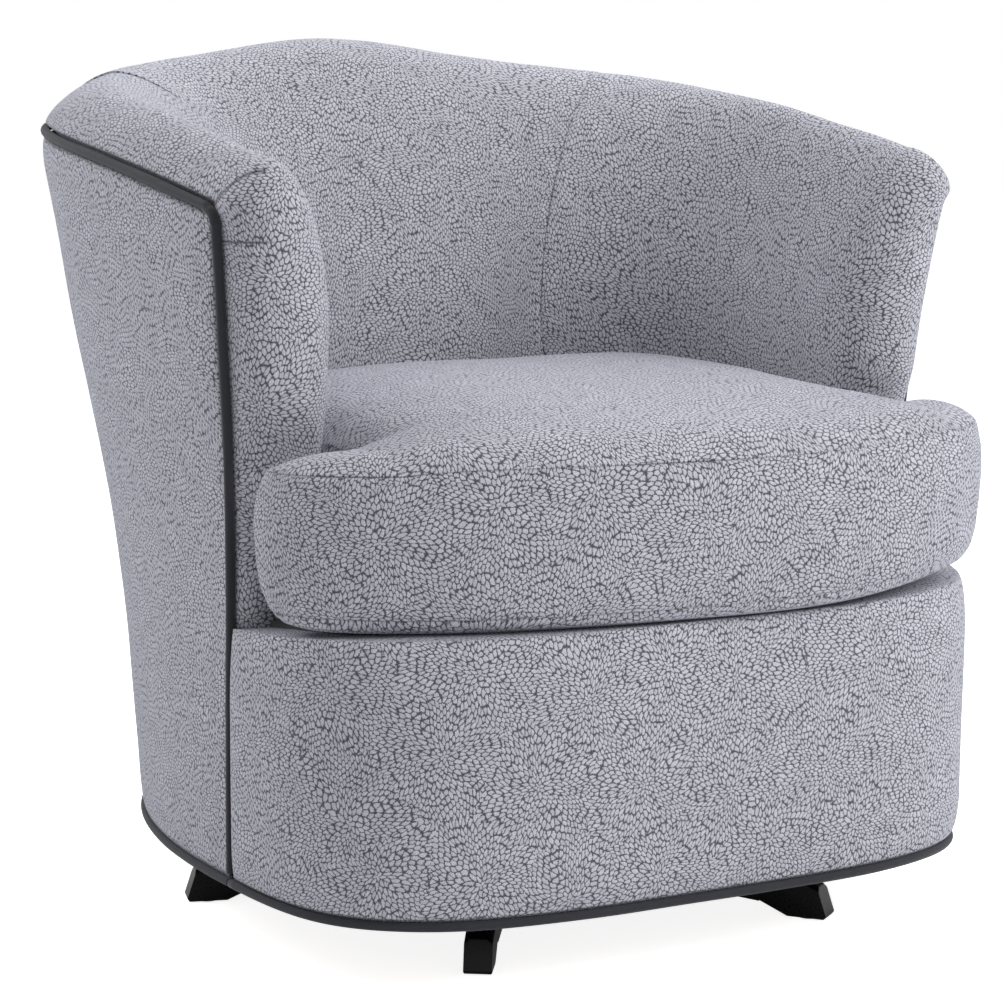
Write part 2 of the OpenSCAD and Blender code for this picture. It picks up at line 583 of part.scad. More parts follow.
top_hoop_end = 0.985;
module top_hoop() color("burlywood") about_swivel() {
    cols = [for (k = [0:40]) lerp(-top_hoop_end, top_hoop_end, k / 40)];
    slab([for (u = cols) let (low = top_z(u) - top_hoop_h) [pad_place(u, [lean(u, low) + timber_in, low]),
            pad_place(u, [timber_in, top_z(u) + welt_seat - small])]],
        [for (u = cols) let (low = top_z(u) - top_hoop_h) [pad_place(u, [lean(u, low) + post_in, low]),
            pad_place(u, [post_in, top_z(u) + welt_seat - small])]]);
}

// Seat deck over the springs
deck_front_in = 16;
spring_front_in = 32;
rear_rail_w = 26;
deck_rear_y = min([for (u = [0:0.02:0.2]) let (d = inside_depth(u))
    pad_place(u, [d - pad_t(u), deck_z])[1]]);
deck_outline = concat(
    [for (k = [-24:24]) let (u = k / 24, p = pad_place(u, [inside_depth(u) - pad_t(u) + over, deck_z]))
        [p[0], p[1]]],
    [for (k = [0:24]) let (p = front_pt(front_end * (1 - k / 12), deck_z, deck_front_in)) [p[0], p[1]]]);
module seat_deck() color("dimgrey") about_swivel() translate([0, 0, deck_low_z])
    linear_extrude(deck_t) polygon(deck_outline);
module rear_spring_rail() color("burlywood") about_swivel() translate([0, 0, deck_hoop_low])
    linear_extrude(deck_hoop_top - deck_hoop_low) intersection() {
        polygon(hoop_outline(deck_hoop_low, deck_hoop_in));
        translate([-low_half_w, deck_rear_y]) square([2 * low_half_w, rear_rail_w]);
    }

// Sinuous seat springs, each a flat meander of wire
spring_pitch = 34;
spring_half = 26;
spring_end = 6;
spring_gap_x = 88;
spring_front_y = spring_front_in - low_front;
spring_end_in = 12;
spring_rear_y = deck_rear_y + spring_end_in;
spring_bars = floor((spring_rear_y - spring_front_y) / spring_pitch / 2) * 2;
spring_step = (spring_rear_y - spring_front_y) / spring_bars;
turn_angles = [-90, -50, -15, 15, 50, 90];
function spring_line() = concat([[-spring_end, 0]],
    [for (k = [0:spring_bars - 1], g = turn_angles) let (s = k % 2 == 0 ? 1 : -1)
        [s * (spring_half - spring_step / 2 + spring_step / 2 * cos(g)),
            spring_step * (k + 0.5) + spring_step / 2 * sin(g)]],
    [[spring_end, spring_step * spring_bars]]);
function flat_out(p, i) = let (d = unit(p[min(len(p) - 1, i + 1)] - p[max(0, i - 1)])) [-d[1], d[0]];
module spring_wire() {
    p = spring_line();
    n = len(p);
    linear_extrude(spring_wire_h) polygon(concat(
        [for (i = [0:n - 1]) p[i] + spring_wire_h / 2 * flat_out(p, i)],
        [for (i = [n - 1:-1:0]) p[i] - spring_wire_h / 2 * flat_out(p, i)]));
}
function spring_x(k) = (k - (seat_springs - 1) / 2) * spring_gap_x;
module seat_spring_wires() color("silver") about_swivel() for (k = [0:seat_springs - 1])
    translate([spring_x(k), spring_front_y, deck_hoop_top]) spring_wire();
clip_w = 16;
clip_l = 12;
module seat_spring_clips() color("silver") about_swivel()
    for (k = [0:seat_springs - 1], y = [spring_front_y, spring_rear_y])
    translate([spring_x(k), y, deck_hoop_top]) difference() {
        translate([-clip_w / 2, -clip_l / 2, 0]) cube([clip_w, clip_l, clip_h]);
        translate([-clip_w, -(spring_wire_h / 2 + touch), -over])
            cube([2 * clip_w, spring_wire_h + 2 * touch, spring_wire_h + touch + over]);
    }

// Dust cover inside the bottom hoop, cut out round the turntable
cover_t = 1.2;
cover_in = 56;
cover_hole_r = 132;
module dust_cover() color("dimgrey") about_swivel() translate([0, 0, hoop_top_z])
    linear_extrude(cover_t) difference() {
        polygon(hoop_outline(hoop_top_z, cover_in));
        circle(r = cover_hole_r, $fn = 96);
    }

// Mounting slats on their cleats
slat_end_in = 35;
slat_half_len = low_half_w - slat_end_in;
slat_w = 56;
slat_y = 72;
slat_t = 24;
cleat_w = 18;
upper_plate_t = 3;
slat_drop = 21;
slat_low_z = pivot_z + slat_drop;
bolt_x = 52;
bolt_r = 3;
bolt_head_r = 5.5;
bolt_head_h = 4;
nut_flange_r = 9;
nut_flange_t = 2;
bolt_gap = 0.2;
module slat_bolt_places() for (x = [-bolt_x, bolt_x], y = [-slat_y, slat_y]) translate([x, y, 0]) children();
module mounting_slats() color("burlywood") about_swivel() difference() {
    for (y = [-slat_y, slat_y]) translate([-slat_half_len, y - slat_w / 2, slat_low_z])
        cube([2 * slat_half_len, slat_w, slat_t]);
    slat_bolt_places() translate([0, 0, slat_low_z - over])
        cylinder(h = slat_t + 2 * over, r = bolt_r + bolt_gap, $fn = 24);
}
module slat_cleats() color("burlywood") about_swivel() for (s = [-1, 1], y = [-slat_y, slat_y])
    translate([s * (slat_half_len - cleat_w / 2) - cleat_w / 2, y - slat_w / 2, hoop_top_z])
        cube([cleat_w, slat_w, slat_low_z - hoop_top_z]);
module slat_bolts() color("silver") about_swivel() slat_bolt_places() {
    translate([0, 0, slat_low_z - upper_plate_t - bolt_head_h])
        cylinder(h = bolt_head_h, r = bolt_head_r, $fn = 6);
    translate([0, 0, slat_low_z - upper_plate_t]) cylinder(h = upper_plate_t + slat_t, r = bolt_r, $fn = 24);
    translate([0, 0, slat_low_z + slat_t]) cylinder(h = nut_flange_t, r = nut_flange_r, $fn = 32);
}

// Five-prong base
hub_low = 20;
cap_len = 65;
cap_start = toe_reach - cap_len;
hub_counterbore = 14;
centre_bolt_r = 8;
centre_head_r = 13;
prong_top_drop = 4.5;
prong_tip_z = 12;
prong_waist_z = 16;
prong_root_rise = 2;
prong_flat_share = 0.56;
prong_brow_share = 0.9;
prong_waist_share = 0.82;
prong_belly_share = 0.46;
prong_ridge_share = 0.3;
prong_drop_share = 0.3;
prong_side_share = 0.9;
function prong_angle(k) = 90 + 360 * (k - 1) / prongs;
module base_hub() color("black") about_swivel() difference() {
    translate([0, 0, hub_low]) cylinder(h = hub_top - hub_low, r = hub_r, $fn = 96);
    translate([0, 0, hub_low - over]) cylinder(h = hub_top, r = centre_bolt_r + touch, $fn = 48);
    translate([0, 0, hub_low - over])
        cylinder(h = hub_counterbore + over, r = centre_head_r + over, $fn = 48);
    race_bolt_places() translate([0, 0, hub_top - race_bolt_len])
        cylinder(h = race_bolt_len + over, r = race_bolt_r + touch, $fn = 24);
}
tongue_w = 12;
tongue_l = 30;
tongue_low = 17;
tongue_h = 16;
module prong_arm() difference() {
    union() {
        intersection() {
            translate([0, prong_w / 2, 0]) rotate([90, 0, 0]) linear_extrude(prong_w) polygon([
                [0, hub_top], [prong_flat_share * cap_start, hub_top],
                [prong_brow_share * cap_start, hub_top - prong_drop_share * prong_top_drop],
                [cap_start, hub_top - prong_top_drop], [cap_start, prong_tip_z],
                [prong_waist_share * cap_start, prong_waist_z],
                [prong_belly_share * cap_start, hub_low], [0, hub_low + prong_root_rise]]);
            rotate([90, 0, 90]) linear_extrude(cap_start) polygon([
                [-prong_w / 2, 0], [prong_w / 2, 0], [prong_w / 2, prong_side_share * hub_top],
                [prong_ridge_share * prong_w, hub_top], [-prong_ridge_share * prong_w, hub_top],
                [-prong_w / 2, prong_side_share * hub_top]]);
        }
        translate([cap_start - over, -tongue_w / 2, tongue_low]) cube([tongue_l + over, tongue_w, tongue_h]);
    }
    translate([0, 0, -over]) cylinder(h = hub_top + 2 * over, r = hub_r, $fn = 96);
}
module prong(k) color("black") about_swivel() rotate([0, 0, prong_angle(k)]) prong_arm();
module prong_1() prong(1);
module prong_2() prong(2);
module prong_3() prong(3);
module prong_4() prong(4);
module prong_5() prong(5);

// Toe caps: a sloped nose, a ridge that falls to the prong's top, and a flat heel over the glide
cap_round = 2;
cap_heel_back = 37;
cap_ridge_back = 27;
cap_nose_z = 4.4;
cap_brow_z = 25;
cap_brow_back = 8.8;
cap_peak_z = 29;
cap_peak_back = 10;
cap_shoulder_z = 33;
cap_ridge_z = 38;
cap_waist = 4;
cap_chamfer = 5;
glide_r = 10;
glide_h = 4;
glide_drop = 1;
glide_back = 20;
glide_reach = toe_reach - glide_back;
module cap_bar(back, z, w) translate([toe_reach - back, w / 2, z]) rotate([90, 0, 0])
    cylinder(h = w, r = cap_round, $fn = 16);
module toe_cap_shape() difference() {
    hull() {
        cap_bar(cap_len - cap_round, prong_tip_z + cap_round, toe_w - cap_waist);
        cap_bar(cap_heel_back, glide_drop + cap_round, toe_w - cap_round);
        cap_bar(1.5 * cap_round, glide_drop + cap_round, toe_w - cap_round);
        cap_bar(cap_round, cap_nose_z, toe_w);
        cap_bar(cap_brow_back, cap_brow_z, toe_w);
        cap_bar(cap_peak_back, cap_peak_z, toe_w - 2 * cap_chamfer);
        cap_bar(cap_ridge_back, cap_shoulder_z, toe_w);
        cap_bar(cap_ridge_back, cap_ridge_z, toe_w - 2 * cap_chamfer);
        cap_bar(cap_len - cap_round, cap_ridge_z, toe_w);
        cap_bar(cap_len - cap_round, hub_top - prong_top_drop - cap_round, toe_w - 2 * cap_chamfer);
    }
    translate([cap_start - over, -tongue_w / 2 - touch, tongue_low - touch])
        cube([tongue_l + over + touch, tongue_w + 2 * touch, tongue_h + 2 * touch]);
    translate([glide_reach, 0, -over]) cylinder(h = glide_h + over, r = glide_r + touch, $fn = 48);
}
module toe_cap(k) color("black") about_swivel() rotate([0, 0, prong_angle(k)]) toe_cap_shape();
module toe_cap_1() toe_cap(1);
module toe_cap_2() toe_cap(2);
module toe_cap_3() toe_cap(3);
module toe_cap_4() toe_cap(4);
module toe_cap_5() toe_cap(5);
module toe_glides() color("grey") about_swivel() for (k = [1:prongs]) rotate([0, 0, prong_angle(k)])
    translate([glide_reach, 0, 0]) cylinder(h = glide_h, r = glide_r, $fn = 48);

// Ball-bearing turntable
race_t = 2.5;
track_h = 3;
track_in = 50;
track_out = 66;
ball_r = 3.5;
ball_track = 58;
ball_gap = 0.3;
track_gap = 1.5;
balls = 16;
ball_z = hub_top + race_t + track_h + track_gap;
upper_race_top = ball_z + track_gap + track_h + race_t;
cage_t = 1.6;
race_bolt_r = 2.5;
race_bolt_len = 10;
race_bolt_ring = 28;
module race_bolt_places() for (k = [0:3])
    rotate([0, 0, 45 + 90 * k]) translate([race_bolt_ring, 0, 0]) children();
module race_shape() difference() {
    union() {
        cylinder(h = race_t, r = race_r, $fn = 96);
        cylinder(h = race_t + track_h, r = track_out, $fn = 96);
    }
    translate([0, 0, race_t]) cylinder(h = track_h + over, r = track_in, $fn = 96);
    translate([0, 0, race_t + track_h + track_gap]) rotate_extrude($fn = 96)
        translate([ball_track, 0]) circle(r = ball_r + ball_gap, $fn = 32);
    translate([0, 0, -over]) cylinder(h = race_t + 2 * over, r = centre_bolt_r, $fn = 48);
}
module lower_race() color("silver") about_swivel() translate([0, 0, hub_top]) difference() {
    race_shape();
    race_bolt_places() translate([0, 0, -over])
        cylinder(h = race_t + 2 * over, r = race_bolt_r + touch, $fn = 24);
}
module race_bolts() color("grey") about_swivel() race_bolt_places() {
    translate([0, 0, hub_top - race_bolt_len])
        cylinder(h = race_bolt_len + race_t, r = race_bolt_r, $fn = 24);
    translate([0, 0, hub_top + race_t]) cylinder(h = race_t, r = 2 * race_bolt_r, $fn = 6);
}
module upper_race() color("silver") about_swivel()
    translate([0, 0, upper_race_top]) mirror([0, 0, 1]) difference() {
        race_shape();
        bracket_screw_places() translate([0, 0, -over])
            cylinder(h = race_t + 2 * over, r = race_bolt_r + touch, $fn = 24);
    }
module ball_places() for (k = [0:balls - 1])
    rotate([0, 0, 360 * k / balls]) translate([ball_track, 0, ball_z]) children();
module ball_cage() color("gold") about_swivel() difference() {
    translate([0, 0, ball_z - cage_t / 2]) cylinder(h = cage_t, r = track_out - over, $fn = 96);
    translate([0, 0, ball_z - cage_t]) cylinder(h = 2 * cage_t, r = track_in + over, $fn = 96);
    ball_places() translate([0, 0, -cage_t]) cylinder(h = 2 * cage_t, r = ball_r + ball_gap, $fn = 24);
}
module bearing_balls() color("silver") about_swivel() ball_places() sphere(r = ball_r, $fn = 24);

// Rocker unit between the turntable and the slats
bracket_t = 3;
ear_t = 4;
ear_r = 14;
ear_x = 50;
upper_ear_x = 56;
bush_r = 11;
bracket_low = upper_race_top;
bracket_top = bracket_low + bracket_t;
upper_low = slat_low_z - upper_plate_t;
screw_x = 36;
screw_y = 40;
module bracket_screw_places() for (x = [-screw_x, screw_x], y = [-screw_y, screw_y])
    translate([x, y, 0]) children();
centre_head_h = 7;
centre_nut_h = 8;
centre_thread_r = 6;
washer_t = 1.6;
nut_wall = 5;
bolt_head_z = hub_low + hub_counterbore;
nut_z = bracket_top + small;
module centre_bolt() color("silver") about_swivel() {
    translate([0, 0, bolt_head_z - centre_head_h]) cylinder(h = centre_head_h, r = centre_head_r, $fn = 6);
    translate([0, 0, bolt_head_z]) cylinder(h = nut_z - bolt_head_z, r = centre_bolt_r - run_gap, $fn = 48);
    translate([0, 0, nut_z]) cylinder(h = centre_nut_h + over, r = centre_thread_r, $fn = 48);
}
module centre_nut() color("silver") about_swivel() translate([0, 0, nut_z]) difference() {
    union() {
        cylinder(h = washer_t, r = centre_head_r + over, $fn = 48);
        translate([0, 0, washer_t])
            cylinder(h = centre_nut_h - washer_t, r = centre_thread_r + nut_wall, $fn = 6);
    }
    translate([0, 0, -over]) cylinder(h = centre_nut_h + 2 * over, r = centre_thread_r + touch, $fn = 48);
}
module rounded_plate(w, l, t, r) {
    translate([-w / 2 + r, -l / 2, 0]) cube([w - 2 * r, l, t]);
    translate([-w / 2, -l / 2 + r, 0]) cube([w, l - 2 * r, t]);
    for (x = [r - w / 2, w / 2 - r], y = [r - l / 2, l / 2 - r])
        translate([x, y, 0]) cylinder(h = t, r = r, $fn = 48);
}
plate_round = 12;
seat_boss_r = 9;
seat_boss_h = 5;
coil_x = 30;
coil_y = 68;
module coil_places() for (x = [-coil_x, coil_x], y = [-coil_y, coil_y]) translate([x, y, 0]) children();
module ear(x, low, high, hole) translate([x, 0, 0]) difference() {
    union() {
        translate([0, 0, pivot_z]) rotate([0, 90, 0]) cylinder(h = ear_t, r = ear_r, $fn = 64);
        translate([0, -ear_r, low]) cube([ear_t, 2 * ear_r, high - low]);
    }
    translate([-over, 0, pivot_z]) rotate([0, 90, 0]) cylinder(h = ear_t + 2 * over, r = hole, $fn = 64);
}
module rocker_lower_bracket() color("dimgrey") about_swivel() {
    difference() {
        union() {
            translate([0, 0, bracket_low]) rounded_plate(plate_w, plate_len, bracket_t, plate_round);
            coil_places() translate([0, 0, bracket_top])
                cylinder(h = seat_boss_h, r = seat_boss_r, $fn = 32);
        }
        translate([0, 0, bracket_low - over])
            cylinder(h = bracket_t + 2 * over, r = centre_bolt_r, $fn = 48);
        bracket_screw_places() translate([0, 0, bracket_low - over])
            cylinder(h = bracket_t + 2 * over, r = race_bolt_r + touch, $fn = 24);
    }
    for (s = [0, 1]) mirror([s, 0, 0]) ear(ear_x, bracket_top, pivot_z, bush_r + touch);
}
module bracket_screws() color("grey") about_swivel() bracket_screw_places() {
    translate([0, 0, upper_race_top - race_t]) cylinder(h = race_t + bracket_t, r = race_bolt_r, $fn = 24);
    translate([0, 0, bracket_top]) cylinder(h = race_t, r = 2 * race_bolt_r, $fn = 6);
}
bush_flange_t = 1.5;
bush_flange = 2;
module pivot_bushes() color("white") about_swivel() for (s = [0, 1]) mirror([s, 0, 0])
    translate([ear_x, 0, pivot_z]) rotate([0, 90, 0]) difference() {
        union() {
            cylinder(h = ear_t, r = bush_r, $fn = 64);
            translate([0, 0, ear_t]) cylinder(h = bush_flange_t, r = bush_r + bush_flange, $fn = 64);
            translate([0, 0, -bush_flange_t])
                cylinder(h = bush_flange_t, r = bush_r + bush_flange, $fn = 64);
        }
        translate([0, 0, -bush_flange_t - over])
            cylinder(h = ear_t + 2 * bush_flange_t + 2 * over, r = pivot_r + run_gap, $fn = 64);
    }
module rocker_upper_bracket() color("dimgrey") about_swivel() {
    difference() {
        union() {
            translate([0, 0, upper_low]) rounded_plate(plate_w, plate_len, upper_plate_t, plate_round);
            coil_places() translate([0, 0, upper_low - seat_boss_h])
                cylinder(h = seat_boss_h, r = seat_boss_r, $fn = 32);
        }
        slat_bolt_places() translate([0, 0, upper_low - over])
            cylinder(h = upper_plate_t + 2 * over, r = bolt_r + bolt_gap, $fn = 24);
    }
    for (s = [0, 1]) mirror([s, 0, 0]) ear(upper_ear_x, pivot_z, upper_low, pivot_r + touch);
}
collar_t = 5;
shaft_half = upper_ear_x + ear_t + collar_t;
module pivot_shaft() color("silver") about_swivel() translate([0, 0, pivot_z]) rotate([0, 90, 0])
    translate([0, 0, -shaft_half]) cylinder(h = 2 * shaft_half, r = pivot_r, $fn = 64);
collar_r = 12;
module shaft_collars() color("grey") about_swivel() for (s = [0, 1]) mirror([s, 0, 0])
    translate([upper_ear_x + ear_t + touch, 0, pivot_z]) rotate([0, 90, 0]) difference() {
        cylinder(h = collar_t - touch, r = collar_r, $fn = 64);
        translate([0, 0, -over]) cylinder(h = collar_t + 2 * over, r = pivot_r + touch, $fn = 64);
    }

// Coil springs with closed ends
coil_flat = 0.5;
coil_rings = 8;
coil_steps = coil_turns * coil_rings;
coil_low = bracket_top + touch;
coil_high = upper_low - touch;
coil_path = [for (k = [0:coil_steps]) let (t = k / coil_rings, g = 360 * t)
    [coil_r * cos(g), coil_r * sin(g), lerp(coil_low + coil_wire, coil_high - coil_wire,
        clamp01((t - coil_flat) / (coil_turns - 2 * coil_flat)))]];
coil_spans = [for (i = [0:coil_steps], j = [i + 5:1:coil_steps]) norm(coil_path[i] - coil_path[j])];
coil_least = min(coil_spans) - 2 * coil_wire;
echo(least_gap_between_coil_turns = coil_least);
echo(swivel_y = swivel_y, back_reach = back_reach, upper_low = upper_low);
module rocker_springs() color("silver") about_swivel() coil_places()
    tube(coil_path, [for (p = coil_path) [p[0], p[1], 0]], coil_wire, 6);

// Rubber stops, cut to the height that meets the upper plate at each limit
bumper_r = 9;
bumper_y = 84;
function bumper_top(a) = pivot_z + (upper_low - pivot_z) * cos(a) - (bumper_y + bumper_r) * sin(a) - small;
module bumper(y, a) translate([0, y, bracket_top]) {
    cylinder(h = bumper_top(a) - bracket_top, r = bumper_r, $fn = 48);
}
module rear_bumper() color("black") about_swivel() bumper(bumper_y, rock_back);
module front_bumper() color("black") about_swivel() bumper(-bumper_y, rock_front);

base_hub();
prong_1();
prong_2();
prong_3();
prong_4();
prong_5();
toe_cap_1();
toe_cap_2();
toe_cap_3();
toe_cap_4();
toe_cap_5();
toe_glides();
lower_race();
race_bolts();
centre_bolt();
ball_cage();
bearing_balls();
upper_race();
rocker_lower_bracket();
bracket_screws();
centre_nut();
pivot_bushes();
rocker_springs();
rear_bumper();
front_bumper();
pivot_shaft();
shaft_collars();
rocker_upper_bracket();
mounting_slats();
slat_bolts();
slat_cleats();
bottom_hoop();
lower_posts();
front_board();
deck_hoop();
rear_spring_rail();
seat_spring_wires();
seat_spring_clips();
seat_deck();
back_ribs();
top_hoop();
dust_cover();
front_rail_pad();
outside_arm_left();
outside_arm_right();
outside_back();
inside_arm_left();
inside_arm_right();
inside_back();
arm_front_left();
arm_front_right();
arm_and_back_piping();
bottom_welt();
seat_cushion();
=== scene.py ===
"""Looks of a barrel-back swivel rocker with a loose T-shaped seat cushion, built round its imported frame.

Lengths are in metres. +Z is up, the front of the chair faces -Y, and the floor is z = 0.
"""

from __future__ import annotations

import logging
import math
from dataclasses import dataclass
from enum import Enum
from functools import cached_property
from typing import Optional, Sequence, Union

import bmesh
import bpy
import numpy as np
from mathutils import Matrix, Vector, noise

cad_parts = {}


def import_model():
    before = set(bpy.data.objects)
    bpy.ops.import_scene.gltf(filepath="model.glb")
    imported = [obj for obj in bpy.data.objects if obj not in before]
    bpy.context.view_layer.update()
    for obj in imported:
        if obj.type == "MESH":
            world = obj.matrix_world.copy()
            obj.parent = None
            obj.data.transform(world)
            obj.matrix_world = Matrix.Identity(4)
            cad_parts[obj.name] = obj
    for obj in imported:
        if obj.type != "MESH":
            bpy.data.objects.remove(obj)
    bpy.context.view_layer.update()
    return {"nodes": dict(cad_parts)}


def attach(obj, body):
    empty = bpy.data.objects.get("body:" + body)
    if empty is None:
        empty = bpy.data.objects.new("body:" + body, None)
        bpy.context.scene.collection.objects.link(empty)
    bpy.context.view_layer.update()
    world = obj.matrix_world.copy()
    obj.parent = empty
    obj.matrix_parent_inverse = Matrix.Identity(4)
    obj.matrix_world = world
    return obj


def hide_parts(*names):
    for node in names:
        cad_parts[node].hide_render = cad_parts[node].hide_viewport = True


LOG = logging.getLogger("swivel_rocker")
Array = np.ndarray
Number = Union[float, Array]
Triple = tuple[float, float, float]
Socket, Node, Tree = bpy.types.NodeSocket, bpy.types.Node, bpy.types.NodeTree
Material, Piece = bpy.types.Material, bpy.types.Object
SHARP_FOLD = math.radians(60)
SHELL_STEP, FRONT_STEP = 0.006, 0.004
TUCK_SHADE, TUCK_REACH = 0.8, 0.0024


# Sums shared by the forms

def lerp(a: Number, b: Number, w: Number) -> Number:
    """Blend from a to b by the share w."""
    return a + (b - a) * w


def clamp01(v: Number) -> Array:
    """Hold a value between 0 and 1."""
    return np.clip(v, 0.0, 1.0)


def ease(v: Number) -> Array:
    """Rise smoothly from 0 to 1 as v does."""
    c = clamp01(v)
    return c * c * (3 - 2 * c)


def round_edge(v: Number) -> Array:
    """Rise from 0 to 1 along a quarter circle as v does."""
    return np.sqrt(1 - (1 - clamp01(v)) ** 2)


def spread(count: int, crowding: float = 0.5) -> Array:
    """Shares from 0 to 1 that stand closer together at both ends.

    Args:
        count: How many shares.
        crowding: 0 for even steps, 1 for the closest ends.

    Returns:
        The shares in rising order.
    """
    s = np.linspace(0, 1, count)
    return lerp(s, 0.5 - 0.5 * np.cos(np.pi * s), crowding)


def arc(wide: float, deep: float, power: float, count: int = 361) -> tuple[Array, Array]:
    """Quarter of a rounded plan outline, from (0, deep) to (wide, 0).

    Args:
        wide: Reach along x.
        deep: Reach along y.
        power: 2 for an ellipse, more for a squarer corner.
        count: How many points.

    Returns:
        The points' x and y.
    """
    a = np.radians(np.linspace(0, 90, count))
    return wide * np.sin(a) ** (2 / power), deep * clamp01(np.cos(a)) ** (2 / power)


def square_to(ahead: tuple[Array, Array], behind: tuple[Array, Array]) -> tuple[Array, Array]:
    """Unit plan direction square to a short step, on its left.

    Args:
        ahead: Plan point just after, along the run.
        behind: Plan point just before.

    Returns:
        The direction's x and y.
    """
    dx, dy = behind[1] - ahead[1], ahead[0] - behind[0]
    n = np.hypot(dx, dy)
    return dx / n, dy / n


def fade(gap: Array, reach: float) -> Array:
    """Fall from 1 at no gap towards 0 past the reach."""
    return np.exp(-(gap / reach) ** 2)


def running(steps: Array) -> Array:
    """Running sum of steps, from 0."""
    return np.concatenate([[0.0], np.cumsum(steps)])


def unit(v: Array) -> Array:
    """Vectors cut to a length of 1."""
    return v / np.maximum(np.linalg.norm(v, axis=-1, keepdims=True), 1e-12)


def xyz(x: Array, y: Array, z: Number) -> Array:
    """Points from their coordinates, with one height or a height each."""
    return np.stack([x, y, np.broadcast_to(z, np.shape(x))], axis=-1)


def smoothed(values: Array, window: Array, **padding: str) -> Array:
    """Average values under a window, after padding both ends."""
    padded = np.pad(values, len(window) // 2, **padding)
    return np.convolve(padded, window / window.sum(), mode="valid")


def run_lengths(points: Array, axis: int) -> Array:
    """Cloth lengths along one direction of a grid of points.

    Args:
        points: Grid of points, rows by columns by three.
        axis: 0 to measure down the columns, 1 along the rows.

    Returns:
        The length from the first line of the grid to each point.
    """
    steps = np.linalg.norm(np.diff(points, axis=axis), axis=2)
    start = np.zeros_like(np.take(steps, [0], axis=axis))
    return np.concatenate([start, np.cumsum(steps, axis=axis)], axis=axis)


def grid_normals(points: Array) -> Array:
    """Unit normals of a grid of points, as the cross product of row and column directions."""
    return unit(np.cross(np.gradient(points, axis=1), np.gradient(points, axis=0)))


def slack(points: Array, scale: float, seed: float) -> Array:
    """Soft unevenness of stuffed cloth, from about -1 to 1.

    Args:
        points: Grid of points.
        scale: Size of one swell, in metres.
        seed: Offset that gives each cover its own unevenness.

    Returns:
        One value per point.
    """
    flat = points.reshape(-1, 3) / scale + seed
    return np.array([noise.noise(Vector(p)) for p in flat]).reshape(points.shape[:2])


@dataclass(frozen=True)
class PlanRail:
    """A plan outline, as x and y against the share of its run."""

    shares: Array
    xs: Array
    ys: Array
    length: float

    @classmethod
    def through(cls, xs: Array, ys: Array) -> "PlanRail":
        """Make a rail through points in order."""
        run = running(np.hypot(np.diff(xs), np.diff(ys)))
        return cls(run / run[-1], xs, ys, float(run[-1]))

    def at(self, u: Number) -> tuple[Array, Array]:
        """Plan point at a signed share of the run.

        Args:
            u: Signed shares of the run, 0 at its middle and 1 at its right end.

        Returns:
            The points' x and y.
        """
        u = np.asarray(u, float)
        a = np.abs(u)
        return np.sign(u) * np.interp(a, self.shares, self.xs), np.interp(a, self.shares, self.ys)

    def outward(self, u: Number, step: float = 0.004) -> tuple[Array, Array]:
        """Unit plan direction square to the rail, away from the seat."""
        u = np.asarray(u, float)
        return square_to(self.at(u + step), self.at(u - step))


class Stretch(Enum):
    """Stretches of the pads' section, from the piping down to the seat."""

    CAP = 0
    ROLL = 1
    FLAT = 2


